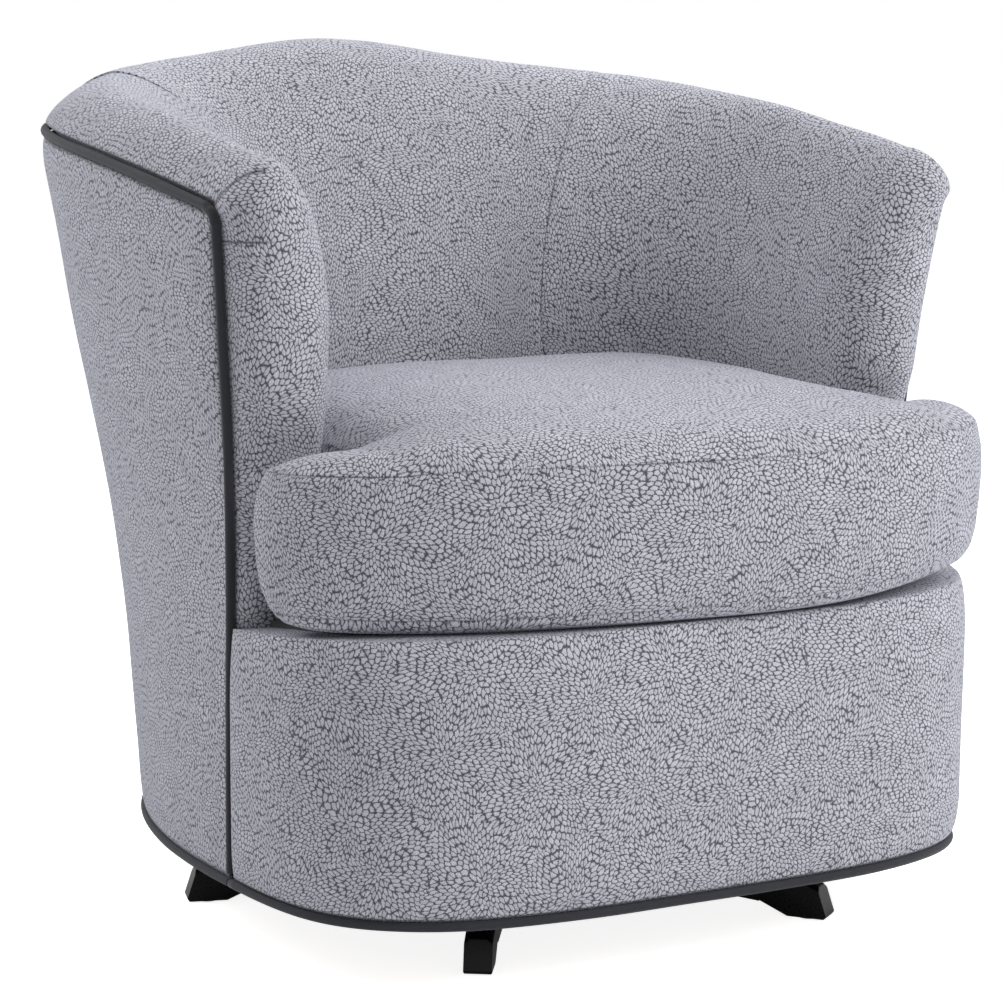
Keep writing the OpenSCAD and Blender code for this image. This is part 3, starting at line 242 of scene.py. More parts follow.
@dataclass(frozen=True)
class ChairForm:
    """Outlines and side profiles that every cover follows, about the swivel axis.

    Widths are half widths, depths run from the swivel axis or the piping, and a power shapes a bend.
    """

    swivel_y: float = -0.0477459
    low_half_w: float = 0.343
    low_back: float = 0.429
    low_front: float = 0.342
    low_z: float = 0.067
    top_half_w: float = 0.385
    top_back: float = 0.469
    top_back_z: float = 0.722
    top_front_z: float = 0.654
    top_swell: float = 0.007
    foot_swell: float = 0.003
    arm_front_top: float = 0.149
    arm_front_low: float = 0.098
    inside_half_w: float = 0.268
    inside_back_y: float = 0.215
    roll_back: float = 0.078
    roll_front: float = 0.040
    crown_back: float = 0.081
    crown_front: float = 0.045
    arm_bulge: float = 0.046
    arm_low_bulge: float = 0.022
    deck_z: float = 0.307
    low_back_power: float = 2.18
    low_front_power: float = 3.56
    low_turn_y: float = -0.084
    top_power: float = 2.44
    top_turn_y: float = 0.086
    top_narrowing: float = 0.0106
    top_rise_power: float = 1.88
    flare_back_power: float = 1.2
    flare_front_power: float = 2.4
    inside_power: float = 2.3
    inside_narrowing: float = 0.003
    roll_start_back_z: float = 0.480
    roll_start_front_z: float = 0.540
    cap_power: float = 1.5
    roll_power: float = 1.8
    crown_ease: float = 0.1
    crown_fall_power: float = 4.4
    seam_top_share: float = 0.385
    seam_seat_share: float = 0.515
    seam_back_share: float = 0.52
    front_swell: float = 0.0095
    rail_rise: float = 0.014
    rail_rise_power: float = 2.5
    rail_drop: float = 0.013
    rail_drop_from: float = 0.5
    rail_drop_run: float = 0.48
    rail_drop_power: float = 1.5
    swell_run: float = 0.036
    swell_from_z: float = 0.330
    swell_rise: float = 0.240
    foot_until_z: float = 0.150
    foot_fall: float = 0.110
    front_foot_share: float = 0.85
    front_foot_z: float = 0.100
    front_foot_rise: float = 0.130
    rail_top_run: float = 0.060
    welt_r: float = 0.0043
    welt_seat: float = 0.0049
    pad_back_t: float = 0.070
    pad_arm_t: float = 0.048

    def _quarter(self, half_w: float, power: float, turn_y: float, back: float, front_y: float,
                 narrowing: float) -> PlanRail:
        """Right half of a plan outline, from the back centre to the front edge of the side.

        Args:
            half_w: Half width.
            power: How square the back's corners are.
            turn_y: Where the straight sides begin.
            back: How far back it reaches.
            front_y: Where the sides end.
            narrowing: How much each side comes in at the front.

        Returns:
            The outline.
        """
        x, y = arc(half_w, back - turn_y, power)
        s = np.linspace(0, 1, 60)[1:]
        return PlanRail.through(np.concatenate([x, half_w - narrowing * s * s]),
                                np.concatenate([turn_y + y, lerp(turn_y, front_y, s)]))

    @cached_property
    def low_rail(self) -> PlanRail:
        """Outline at the bottom welt."""
        return self._quarter(self.low_half_w, self.low_back_power, self.low_turn_y, self.low_back,
                             -self.arm_front_low, 0.0)

    @cached_property
    def top_rail(self) -> PlanRail:
        """Outline at the top piping."""
        return self._quarter(self.top_half_w, self.top_power, self.top_turn_y, self.top_back,
                             -self.arm_front_top, self.top_narrowing)

    @cached_property
    def front_rail(self) -> PlanRail:
        """Outline of the bow front, from its middle to the side."""
        x, y = arc(self.low_half_w, self.low_front + self.low_turn_y, self.low_front_power)
        return PlanRail.through(x, self.low_turn_y - y)

    @cached_property
    def front_end(self) -> float:
        """Share of the bow front's run at which it meets the arm fronts."""
        return 1 - (self.arm_front_low + self.welt_seat + self.low_turn_y) / self.front_rail.length

    @cached_property
    def _edge_table(self) -> tuple[Array, Array]:
        """Heights and shares of the arms' front edge, with its bends eased.

        Returns:
            The heights and the shares.
        """
        low = np.linspace(0.100, self.deck_z, 4)
        high = np.linspace(self.deck_z, self.roll_start_front_z, 4)
        zs = np.concatenate([low[:3], high, [self.top_front_z + self.crown_front]])
        slope = 0.3 / (self.top_front_z - self.roll_start_front_z)
        shares = np.array([0, 0.03, 0.12, 0.25, 0.42, 0.57, 0.7, 1 + slope * self.crown_front])
        fine = np.arange(0.0, 0.80, 0.002)
        return fine, smoothed(np.interp(fine, zs, shares), np.hanning(31), mode="edge")

    def edge_y(self, z: Number) -> Array:
        """Front edge of the arms at a height."""
        return -lerp(self.arm_front_low, self.arm_front_top, np.interp(z, *self._edge_table))

    def top_z(self, u: Number) -> Array:
        """Height of the top piping at a share of the run.

        Args:
            u: Signed shares of the run, 0 at the back's middle and 1 at the right arm's front edge.

        Returns:
            The heights.
        """
        y = self.top_rail.at(u)[1]
        t = clamp01((y + self.arm_front_top) / (self.top_back + self.arm_front_top))
        return lerp(self.top_front_z, self.top_back_z, 1 - (1 - t) ** self.top_rise_power)

    def crest_z(self, u: Number) -> Array:
        """Height of the rolled top's crest at a share of the run."""
        away = np.sqrt(np.square(u) + self.crown_ease ** 2) - self.crown_ease
        return self.top_z(u) + lerp(self.crown_front, self.crown_back, (1 - away) ** self.crown_fall_power)

    def shell_xy(self, u: Number, z: Number) -> tuple[Array, Array]:
        """Plan point of the outside shell at a share of its run and a height.

        Args:
            u: Signed shares of the run, 0 at the back's middle and 1 at the right arm's front edge.
            z: Heights over the floor.

        Returns:
            The points' x and y.
        """
        t = clamp01((z - self.low_z) / (self.top_z(u) - self.low_z))
        a = np.abs(u)
        w = t ** lerp(self.flare_back_power, self.flare_front_power, a ** 3)
        lx, ly = self.low_rail.at(u)
        tx, ty = self.top_rail.at(u)
        straight = -lerp(self.arm_front_low, self.arm_front_top, w)
        return lerp(lx, tx, w), lerp(ly, ty, w) + (self.edge_y(z) - straight) * a ** 6

    def shell_pt(self, u: Number, z: Number, inset: Number) -> Array:
        """Point of the shell set in by a depth.

        Args:
            u: Signed shares of the run, 0 at the back's middle and 1 at the right arm's front edge.
            z: Heights over the floor.
            inset: How far in, square to the outline.

        Returns:
            The points.
        """
        nx, ny = square_to(self.shell_xy(u + SHELL_STEP, z), self.shell_xy(u - SHELL_STEP, z))
        x, y = self.shell_xy(u, z)
        return xyz(x - inset * nx, y - inset * ny, z)

    def shell_swell(self, u: Number, z: Number) -> Array:
        """How far the outside cover stands past the shell line.

        Args:
            u: Signed shares of the run, 0 at the back's middle and 1 at the right arm's front edge.
            z: Heights over the floor.

        Returns:
            The depths, outward.
        """
        v = z - self.low_z - self.welt_seat
        h = self.top_z(u) - z - self.welt_seat
        e = (1 - np.abs(u)) * self.top_rail.length - self.welt_seat
        full = self.top_swell * ease((z - self.swell_from_z) / self.swell_rise) + self.foot_swell * (
            1 - ease((z - self.foot_until_z) / self.foot_fall))
        swell = full * round_edge(v / self.swell_run) * round_edge(h / self.swell_run)
        return np.where(v < 0, np.maximum(v, -self.welt_seat), swell * round_edge(e / self.swell_run))

    def lean(self, u: Number, z: Number) -> Array:
        """How far the shell lies inside the piping's plan line at a height.

        Args:
            u: Signed shares of the run, 0 at the back's middle and 1 at the right arm's front edge.
            z: Heights over the floor.

        Returns:
            The depths.
        """
        nx, ny = self.top_rail.outward(u)
        px, py = self.top_rail.at(u)
        sx, sy = self.shell_xy(u, z)
        square = (px - sx) * nx + (py - sy) * ny
        return np.where(np.abs(u) > 0.9, (px - sx) / np.where(np.abs(nx) < 0.1, 1, nx), square)

    def _inside_value(self, x: Array, y: Array) -> Array:
        """Below zero within the seat space, above it in the pads.

        Args:
            x: Places along x, from the swivel axis.
            y: Places along y, from the swivel axis.

        Returns:
            The values.
        """
        a = np.abs(x)
        back = (a / self.inside_half_w) ** self.inside_power + (
            np.maximum(y, 0) / self.inside_back_y) ** self.inside_power - 1
        side = a / (self.inside_half_w - self.inside_narrowing * clamp01(-y / self.arm_front_top)) - 1
        return np.where(y > 0, back, side)

    def inside_depth(self, u: Array) -> Array:
        """Depth of the pads' inside face from the piping line, at the seat.

        Args:
            u: Signed shares of the run, 0 at the back's middle and 1 at the right arm's front edge.

        Returns:
            The depths.
        """
        u = np.asarray(u, float)
        px, py = self.top_rail.at(u)
        nx, ny = self.top_rail.outward(u)
        near, far = np.zeros_like(px), np.full_like(px, self.top_back)
        for _ in range(30):
            m = (near + far) / 2
            outside = self._inside_value(px - m * nx, py - m * ny) > 0
            near, far = np.where(outside, m, near), np.where(outside, far, m)
        return (near + far) / 2

    def pad_place(self, u: Array, depth: Array, z: Array) -> Array:
        """Set a section point of the arm and back pads out in space.

        Args:
            u: Signed shares of the run, 0 at the back's middle and 1 at the right arm's front edge.
            depth: Depths from the piping line.
            z: Heights over the floor.

        Returns:
            The points.
        """
        px, py = self.top_rail.at(u)
        nx, ny = self.top_rail.outward(u)
        forward = (self.edge_y(z) + self.arm_front_top) * np.abs(u) ** 6
        return xyz(px - depth * nx, py - depth * ny + forward, z)

    def pad_section(self, u: Array, kind: Array, t: Array) -> tuple[Array, Array]:
        """Section of the pads' inside face.

        Args:
            u: Shares of the run.
            kind: The value of the stretch that each point lies on.
            t: Share of the way along that stretch.

        Returns:
            Depth from the piping line and height.
        """
        a = lerp(self.roll_back, self.roll_front, np.abs(u))
        c, s = self.crest_z(u), self.top_z(u)
        r = lerp(self.roll_start_back_z, self.roll_start_front_z, ease(np.abs(u)))
        depth = self.inside_depth(u)
        on_cap, on_roll = kind == Stretch.CAP.value, kind == Stretch.ROLL.value
        g = np.radians(np.where(on_cap, lerp(8.0, 90.0, t), 90 * t))
        sin, cos = np.clip(np.sin(g), 0, 1), np.clip(np.cos(g), 0, 1)
        cap = a - a * cos ** (2 / self.cap_power), s + self.welt_seat + (c - s - self.welt_seat) * sin ** (
            2 / self.cap_power)
        roll = a + (depth - a) * sin ** (2 / self.roll_power), r + (c - r) * cos ** (2 / self.roll_power)
        flat = depth, lerp(r, self.deck_z, t)
        depth, height = (np.select([on_cap, on_roll], [cap[k], roll[k]], flat[k]) for k in (0, 1))
        return depth, height

    def rail_top(self, v: Number) -> Array:
        """Height of the front rail's padded top at a share of the bow front's run.

        Args:
            v: Signed shares of the bow front's run, 0 at its middle.

        Returns:
            The heights.
        """
        drop = clamp01((-np.asarray(v) - self.rail_drop_from) / self.rail_drop_run)
        return self.deck_z + self.rail_rise * clamp01(v) ** self.rail_rise_power - (
            self.rail_drop * drop ** self.rail_drop_power)

    def front_xy(self, v: Number, z: Number) -> tuple[Array, Array]:
        """Plan point of the bow front at a share of its run and a height.

        Args:
            v: Signed shares of the bow front's run, 0 at its middle.
            z: Heights over the floor.

        Returns:
            The points' x and y.
        """
        x, y = self.front_rail.at(v)
        wide = self.shell_xy(np.ones_like(np.asarray(z, float)), z)[0] / self.low_half_w
        return x * wide, y + (self.edge_y(z) + self.arm_front_low) * (np.abs(v) / self.front_end) ** 8

    def front_pt(self, v: Number, z: Number, inset: Number) -> Array:
        """Point of the bow front set in by a depth.

        Args:
            v: Signed shares of the bow front's run, 0 at its middle.
            z: Heights over the floor.
            inset: How far in, square to the outline.

        Returns:
            The points.
        """
        nx, ny = square_to(self.front_xy(v - FRONT_STEP, z), self.front_xy(v + FRONT_STEP, z))
        x, y = self.front_xy(v, z)
        return xyz(x - inset * nx, y - inset * ny, z)

    def front_swell_at(self, v: Number, z: Number) -> Array:
        """How far the front rail's cover stands past the bow front's line.

        Args:
            v: Signed shares of the bow front's run, 0 at its middle.
            z: Heights over the floor.

        Returns:
            The depths, outward.
        """
        h = z - self.low_z - self.welt_seat
        swell = self.front_swell * lerp(self.front_foot_share, 1.0, clamp01((z - self.front_foot_z)
                                                                           / self.front_foot_rise))
        swell = swell * round_edge(h / self.swell_run) * round_edge((self.rail_top(v) - z) / self.rail_top_run)
        swell = swell * round_edge((self.front_end - np.abs(v)) * self.front_rail.length / self.swell_run)
        return np.where(h < 0, np.maximum(h, -self.welt_seat), swell)

    def placed(self, points: Array) -> Array:
        """Move points from the swivel axis to their place in the frame."""
        return points + np.array([0.0, self.swivel_y, 0.0])


# Materials

class Bench:
    """Places and links the nodes of one shader tree."""

    def __init__(self, tree: Tree) -> None:
        """Start on an empty tree."""
        self.tree = tree
        self.count = 0

    def node(self, kind: str, **settings: object) -> Node:
        """Add a node.

        Args:
            kind: Its class name without the leading ShaderNode.
            settings: Attributes to set on it.

        Returns:
            The node.
        """
        made = self.tree.nodes.new(kind if kind.startswith("Node") else "ShaderNode" + kind)
        for name, value in settings.items():
            setattr(made, name, value)
        made.location = (180 * (self.count % 12), -180 * (self.count // 12))
        self.count += 1
        return made

    def feed(self, socket: Socket, value: object) -> None:
        """Link a socket into an input, or write a plain value on it.

        Args:
            socket: The input.
            value: A socket or a plain value.
        """
        if isinstance(value, Socket):
            self.tree.links.new(value, socket)
        elif isinstance(value, tuple) and len(value) == 3 and socket.type == "RGBA":
            socket.default_value = (*value, 1.0)
        else:
            socket.default_value = value

    def set(self, node: Node, **values: object) -> Node:
        """Feed a node's inputs.

        Args:
            node: The node.
            values: Sockets or plain values by the input's name, with _ for a space.

        Returns:
            The node.
        """
        for name, value in values.items():
            self.feed(node.inputs[name.replace("_", " ")], value)
        return node

    def wire(self, node: Node, *values: object) -> Node:
        """Feed a node's inputs in their order and return it.

        Args:
            node: The node.
            values: Sockets or plain values.

        Returns:
            The node.
        """
        for socket, value in zip(node.inputs, values):
            self.feed(socket, value)
        return node

    def sum(self, operation: str, *values: object) -> Socket:
        """Work out one sum.

        Args:
            operation: The Math node's operation.
            values: Sockets or numbers, in order.

        Returns:
            The result's socket.
        """
        return self.wire(self.node("Math", operation=operation), *values).outputs[0]

    def step(self, value: object, low: float, high: float, to_low: float = 0.0,
             to_high: float = 1.0) -> Socket:
        """Rise smoothly from to_low to to_high as a value goes from low to high.

        Args:
            value: A socket or a plain value.
            low: Where the rise starts.
            high: Where the rise ends.
            to_low: Result before the rise.
            to_high: Result after it.

        Returns:
            The result's socket.
        """
        made = self.node("MapRange", interpolation_type="SMOOTHSTEP")
        self.set(made, From_Min=low, From_Max=high, To_Min=to_low, To_Max=to_high, Value=value)
        return made.outputs["Result"]

    def colour(self, factor: object, first: object, second: object) -> Socket:
        """Take the first colour where the factor is 0 and the second where it is 1."""
        made = self.node("Mix", data_type="RGBA", blend_type="MIX")
        return self.set(made, Factor=factor, A=first, B=second).outputs["Result"]

    def pick(self, factor: object, first: object, second: object) -> Socket:
        """Take the first number where the factor is 0 and the second where it is 1."""
        return self.set(self.node("Mix", data_type="FLOAT"), Factor=factor, A=first, B=second).outputs["Result"]

    def vector(self, operation: str, *values: object) -> Node:
        """Add a vector sum and return its node."""
        return self.wire(self.node("VectorMath", operation=operation), *values)

    def scaled(self, value: object, factor: object) -> Socket:
        """Multiply a colour or a vector by a number."""
        return self.set(self.vector("SCALE", value), Scale=factor).outputs[0]

    def place_group(self, group: Tree, **values: object) -> Node:
        """Place a shader node group with its own values."""
        return self.set(self.node("Group", node_tree=group), **values)

    def emboss(self, shader: Node, height: object, strength: float, distance: float) -> None:
        """Feed a height to a shader's normal."""
        bump = self.set(self.node("Bump"), Height=height, Strength=strength, Distance=distance)
        self.feed(shader.inputs["Normal"], bump.outputs[0])


def cleared_bench(owner: Union[Material, bpy.types.World]) -> Bench:
    """Start on the emptied shader tree of a material or world.

    Args:
        owner: The material or world.

    Returns:
        The bench.
    """
    owner.use_nodes = True
    owner.node_tree.nodes.clear()
    return Bench(owner.node_tree)


def new_group(name: str, inputs: Sequence[tuple[str, str, object]],
              outputs: Sequence[tuple[str, str]]) -> tuple[Tree, Bench, Node, Node]:
    """Make a shader node group with named sockets.

    Args:
        name: The group's name.
        inputs: Name, kind and starting value of each input.
        outputs: Name and kind of each output.

    Returns:
        The group, its bench, and its input and output nodes.
    """
    group = bpy.data.node_groups.new(name, "ShaderNodeTree")
    for label, kind, value in inputs:
        socket = group.interface.new_socket(label, in_out="INPUT", socket_type="NodeSocket" + kind)
        if value is not None:
            socket.default_value = value
    for label, kind in outputs:
        group.interface.new_socket(label, in_out="OUTPUT", socket_type="NodeSocket" + kind)
    bench = Bench(group)
    return group, bench, bench.node("NodeGroupInput"), bench.node("NodeGroupOutput")


@dataclass(frozen=True)
class PetalPattern:
    """Woven pattern of small petals that radiate in bursts."""

    burst: float = 0.092
    ring: float = 0.0066
    pitch: float = 0.0032
    half_length: float = 0.0033
    half_width: float = 0.00177

    def _petal(self, b: Bench, number: object, ring: object, seed: object, away: object, rise: object,
               width: object) -> tuple[Socket, Socket]:
        """Measure how far a point lies from one petal.

        Args:
            b: The bench to build on.
            number: The petal's number in its ring.
            ring: The ring's number.
            seed: The burst's own number.
            away: Steps across from the petal's middle line.
            rise: Rings outward from the petal's middle.
            width: Half widths in one step across.

        Returns:
            The distance, 1 on the petal's edge, and the petal's chance value.
        """
        spot = b.set(b.node("CombineXYZ"), X=number, Y=ring, Z=seed).outputs[0]
        chance = b.set(b.node("TexWhiteNoise", noise_dimensions="3D"), Vector=spot)
        shift = b.sum("MULTIPLY", b.sum("SUBTRACT", chance.outputs["Value"], 0.5), 0.22)
        up = b.sum("MULTIPLY", b.sum("SUBTRACT", rise, shift), self.ring / self.half_length)
        side = b.sum("MULTIPLY", away, width)
        half_up = b.sum("MULTIPLY", b.sum("ABSOLUTE", up), 0.5)
        far = b.sum("SQRT", b.sum("ADD", b.sum("MULTIPLY", side, side), b.sum("MULTIPLY", half_up, half_up)))
        return b.sum("ADD", far, half_up), chance.outputs["Value"]

    def _ring_group(self) -> Tree:
        """Build the group that measures the two nearest petals in one ring of a burst.

        Returns:
            The group's tree.
        """
        group, b, given, out = new_group(
            "petal_ring",
            [("Radius", "Float", 0.0), ("Turn", "Float", 0.0), ("Ring", "Float", 0.0), ("Seed", "Float", 0.0)],
            [("Near", "Float"), ("Next", "Float"), ("Shade", "Float")])
        radius, turn, ring, seed = (given.outputs[n] for n in ("Radius", "Turn", "Ring", "Seed"))
        middle = b.sum("ADD", ring, 0.5)
        pairs = b.sum("ROUND", b.sum("MULTIPLY", middle, math.pi * self.ring / self.pitch))
        count = b.sum("MULTIPLY", b.sum("MAXIMUM", pairs, 1.0), 2.0)
        phase_at = b.set(b.node("CombineXYZ"), X=ring, Y=seed).outputs[0]
        phase = b.set(b.node("TexWhiteNoise", noise_dimensions="2D"), Vector=phase_at)
        start = b.sum("MULTIPLY", phase.outputs["Value"], 2.0)
        along = b.sum("FLOORED_MODULO", b.sum("ADD", b.sum("MULTIPLY", turn, count), start), count)
        number = b.sum("FLOOR", along)
        across = b.sum("SUBTRACT", b.sum("SUBTRACT", along, number), 0.5)
        side = b.sum("ABSOLUTE", across)
        stagger = b.sum("MULTIPLY", b.sum("SUBTRACT", b.sum("FLOORED_MODULO", number, 2.0), 0.5), 0.5)
        width = b.sum("DIVIDE", b.sum("MULTIPLY", b.sum("MAXIMUM", radius, 0.25),
                                      2 * math.pi * self.ring / self.half_width), count)
        rise = b.sum("SUBTRACT", radius, middle)
        beside = b.sum("FLOORED_MODULO", b.sum("ADD", number, b.sum("SIGN", across)), count)
        own, own_chance = self._petal(b, number, ring, seed, side, b.sum("SUBTRACT", rise, stagger), width)
        other, other_chance = self._petal(b, beside, ring, seed, b.sum("SUBTRACT", 1.0, side),
                                          b.sum("ADD", rise, stagger), width)
        missing = b.sum("MULTIPLY", b.sum("LESS_THAN", ring, -0.5), 10.0)
        b.set(out, Near=b.sum("ADD", b.sum("MINIMUM", own, other), missing),
              Next=b.sum("ADD", b.sum("MAXIMUM", own, other), missing),
              Shade=b.pick(b.sum("LESS_THAN", other, own), own_chance, other_chance))
        return group

    def build(self) -> Tree:
        """Build the pattern's group, which reads a cloth map in metres.

        Returns:
            The group's tree.
        """
        ring_group = self._ring_group()
        group, b, given, out = new_group(
            "petal_bursts", [("Vector", "Vector", None)],
            [("Petal", "Float"), ("Height", "Float"), ("Shade", "Float")])
        moved = given.outputs["Vector"]
        for scale, detail, reach in ((24.0, 1.0, 0.014), (760.0, 1.0, 0.0016)):
            wander = b.set(b.node("TexNoise", noise_dimensions="2D"), Vector=given.outputs["Vector"], Scale=scale,
                           Detail=detail)
            drift = b.scaled(b.vector("SUBTRACT", wander.outputs["Color"], (0.5, 0.5, 0.5)).outputs[0], reach)
            moved = b.vector("ADD", moved, drift).outputs[0]
        bursts = b.set(b.node("TexVoronoi", voronoi_dimensions="2D", feature="F1"), Vector=moved,
                       Scale=1 / self.burst, Randomness=0.7)
        away = b.vector("SUBTRACT", moved, bursts.outputs["Position"]).outputs[0]
        parts = b.set(b.node("SeparateXYZ"), Vector=away)
        x, y = parts.outputs["X"], parts.outputs["Y"]
        length = b.sum("SQRT", b.sum("ADD", b.sum("MULTIPLY", x, x), b.sum("MULTIPLY", y, y)))
        radius = b.sum("DIVIDE", length, self.ring)
        turn = b.sum("DIVIDE", b.sum("ARCTAN2", y, x), 2 * math.pi)
        tone = b.set(b.node("SeparateXYZ"), Vector=bursts.outputs["Color"])
        seed = b.sum("MULTIPLY", tone.outputs["X"], 37.0)
        home = b.sum("FLOOR", radius)
        rings = [b.place_group(ring_group, Radius=radius, Turn=turn, Ring=b.sum("ADD", home, float(k)), Seed=seed)
                 for k in (-1, 0, 1)]
        near, nxt, shade = (rings[0].outputs[n] for n in ("Near", "Next", "Shade"))
        for ring in rings[1:]:
            closer = b.sum("LESS_THAN", ring.outputs["Near"], near)
            shade = b.pick(closer, shade, ring.outputs["Shade"])
            passed = b.sum("MAXIMUM", near, ring.outputs["Near"])
            nxt = b.sum("MINIMUM", b.sum("MINIMUM", nxt, ring.outputs["Next"]), passed)
            near = b.sum("MINIMUM", near, ring.outputs["Near"])
        petal = b.sum("MULTIPLY", b.step(b.sum("SUBTRACT", nxt, near), 0.10, 0.66),
                      b.step(near, 1.0, 1.5, 1.0, 0.0))
        dome = b.sum("SUBTRACT", 1.0, b.sum("MULTIPLY", b.sum("MULTIPLY", near, near), 0.35))
        b.set(out, Petal=petal, Height=b.sum("MULTIPLY", petal, dome), Shade=shade)
        return group


def mottle_group() -> Tree:
    """Build the group that gives uneven tone and fine grain to any finish.

    Returns:
        The group's tree.
    """
    group, b, given, out = new_group(
        "mottle",
        [("Vector", "Vector", None), ("Broad Scale", "Float", 12.0), ("Fine Scale", "Float", 600.0),
         ("Amount", "Float", 0.1)],
        [("Tone", "Float"), ("Grain", "Float")])
    sums = []
    for label, detail in (("Broad Scale", 3.0), ("Fine Scale", 2.0)):
        cloud = b.set(b.node("TexNoise"), Vector=given.outputs["Vector"], Scale=given.outputs[label], Detail=detail)
        sums.append(cloud.outputs["Fac"])
    lift = b.sum("MULTIPLY", b.sum("SUBTRACT", sums[0], 0.5), given.outputs["Amount"])
    b.set(out, Tone=b.sum("ADD", lift, 1.0), Grain=sums[1])
    return group


class Workshop:
    """Holds the shared node groups and starts each material."""

    def __init__(self) -> None:
        """Build the groups that several finishes use."""
        self.petals = PetalPattern().build()
        self.mottle = mottle_group()

    def start(self, name: str) -> tuple[Material, Bench, Node]:
        """Start a material.

        Args:
            name: The material's name.

        Returns:
            The material, its bench and its shader node.
        """
        material = bpy.data.materials.new(name)
        bench = cleared_bench(material)
        shader = bench.node("BsdfPrincipled")
        bench.set(bench.node("OutputMaterial"), Surface=shader.outputs[0])
        return material, bench, shader


def cloth_map(b: Bench) -> Socket:
    """Read a piece's cloth map, which is in metres."""
    return b.node("UVMap", uv_map="cloth").outputs[0]


def solid_place(b: Bench) -> Socket:
    """Read the place of a point in its piece."""
    return b.node("TexCoord").outputs["Object"]


@dataclass(frozen=True)
class PetalFabric:
    """Light grey upholstery woven with petals, darker in its gaps, with painted shade along seams, darts and tucks.
    """

    petal: Triple = (0.575, 0.568, 0.625)
    gap: Triple = (0.092, 0.090, 0.112)

    def build(self, shop: Workshop) -> Material:
        """Build the material.

        Args:
            shop: Workshop with the shared node groups.

        Returns:
            The material.
        """
        material, b, shader = shop.start("petal_fabric")
        place = cloth_map(b)
        pattern = b.place_group(shop.petals, Vector=place)
        mottle = b.place_group(shop.mottle, Vector=place, Broad_Scale=9.0, Fine_Scale=950.0, Amount=0.10)
        thread = b.step(mottle.outputs["Grain"], 0.3, 0.7, 0.78, 1.16)
        shade = b.sum("ADD", b.sum("MULTIPLY", pattern.outputs["Shade"], 0.16), 0.92)
        light = b.sum("MULTIPLY", b.sum("MULTIPLY", thread, shade), mottle.outputs["Tone"])
        woven = b.colour(pattern.outputs["Petal"], self.gap, self.petal)
        # painted shade: a per-point attribute darkens the colour along seams, darts and tucks, where shade falls
        painted_shade = b.node("Attribute", attribute_name="painted_shade")
        dark = b.sum("SUBTRACT", 1.0, b.sum("MULTIPLY", painted_shade.outputs["Fac"], 0.85))
        b.set(shader, Base_Color=b.scaled(b.scaled(woven, light), dark),
              Roughness=b.step(pattern.outputs["Petal"], 0.0, 1.0, 0.95, 0.78), Sheen_Weight=0.35,
              Sheen_Roughness=0.45, Sheen_Tint=(0.80, 0.86, 1.0), Specular_IOR_Level=0.25)
        relief = b.sum("ADD", pattern.outputs["Height"], b.sum("MULTIPLY", mottle.outputs["Grain"], 0.35))
        b.emboss(shader, relief, strength=0.7, distance=0.0006)
        return material


@dataclass(frozen=True)
class TwillTrim:
    """Charcoal cloth of the piping and the bottom welt, cut on the bias."""

    name: str = "contrast_trim"
    thread: Triple = (0.046, 0.047, 0.058)
    shadow: Triple = (0.010, 0.010, 0.013)
    rib: float = 0.0011

    def build(self, shop: Workshop) -> Material:
        """Build the material.

        Args:
            shop: Workshop with the shared node groups.

        Returns:
            The material.
        """
        material, b, shader = shop.start(self.name)
        place = cloth_map(b)
        wave = b.set(b.node("TexWave", wave_type="BANDS", bands_direction="DIAGONAL"), Vector=place,
                     Scale=0.5 / self.rib, Distortion=0.6)
        mottle = b.place_group(shop.mottle, Vector=place, Broad_Scale=30.0, Fine_Scale=1500.0, Amount=0.3)
        woven = b.colour(b.step(wave.outputs["Fac"], 0.1, 0.7), self.shadow, self.thread)
        b.set(shader, Base_Color=b.scaled(woven, mottle.outputs["Tone"]),
              Roughness=b.step(mottle.outputs["Grain"], 0.2, 0.8, 0.8, 0.95), Sheen_Weight=0.25,
              Sheen_Roughness=0.4, Specular_IOR_Level=0.3)
        b.emboss(shader, wave.outputs["Fac"], strength=0.5, distance=0.0003)
        return material


@dataclass(frozen=True)
class HardFinish:
    """A coated, plated, moulded or pressed surface with fine unevenness."""

    name: str
    colour: Triple
    roughness: float
    metallic: float = 0.0
    grain: float = 700.0
    grain_depth: float = 0.00008
    spread: float = 0.12
    coat: float = 0.0
    shine: float = 0.5

    def build(self, shop: Workshop) -> Material:
        """Build the material.

        Args:
            shop: Workshop with the shared node groups.

        Returns:
            The material.
        """
        material, b, shader = shop.start(self.name)
        place = solid_place(b)
        mottle = b.place_group(shop.mottle, Vector=place, Broad_Scale=22.0, Fine_Scale=self.grain, Amount=0.25)
        dull = b.step(mottle.outputs["Grain"], 0.2, 0.8, self.roughness - self.spread / 2,
                      self.roughness + self.spread / 2)
        b.set(shader, Base_Color=b.scaled(self.colour, mottle.outputs["Tone"]), Roughness=dull,
              Metallic=self.metallic, Coat_Weight=self.coat, Coat_Roughness=0.18, Specular_IOR_Level=self.shine)
        b.emboss(shader, mottle.outputs["Grain"], strength=0.35, distance=self.grain_depth)
        return material


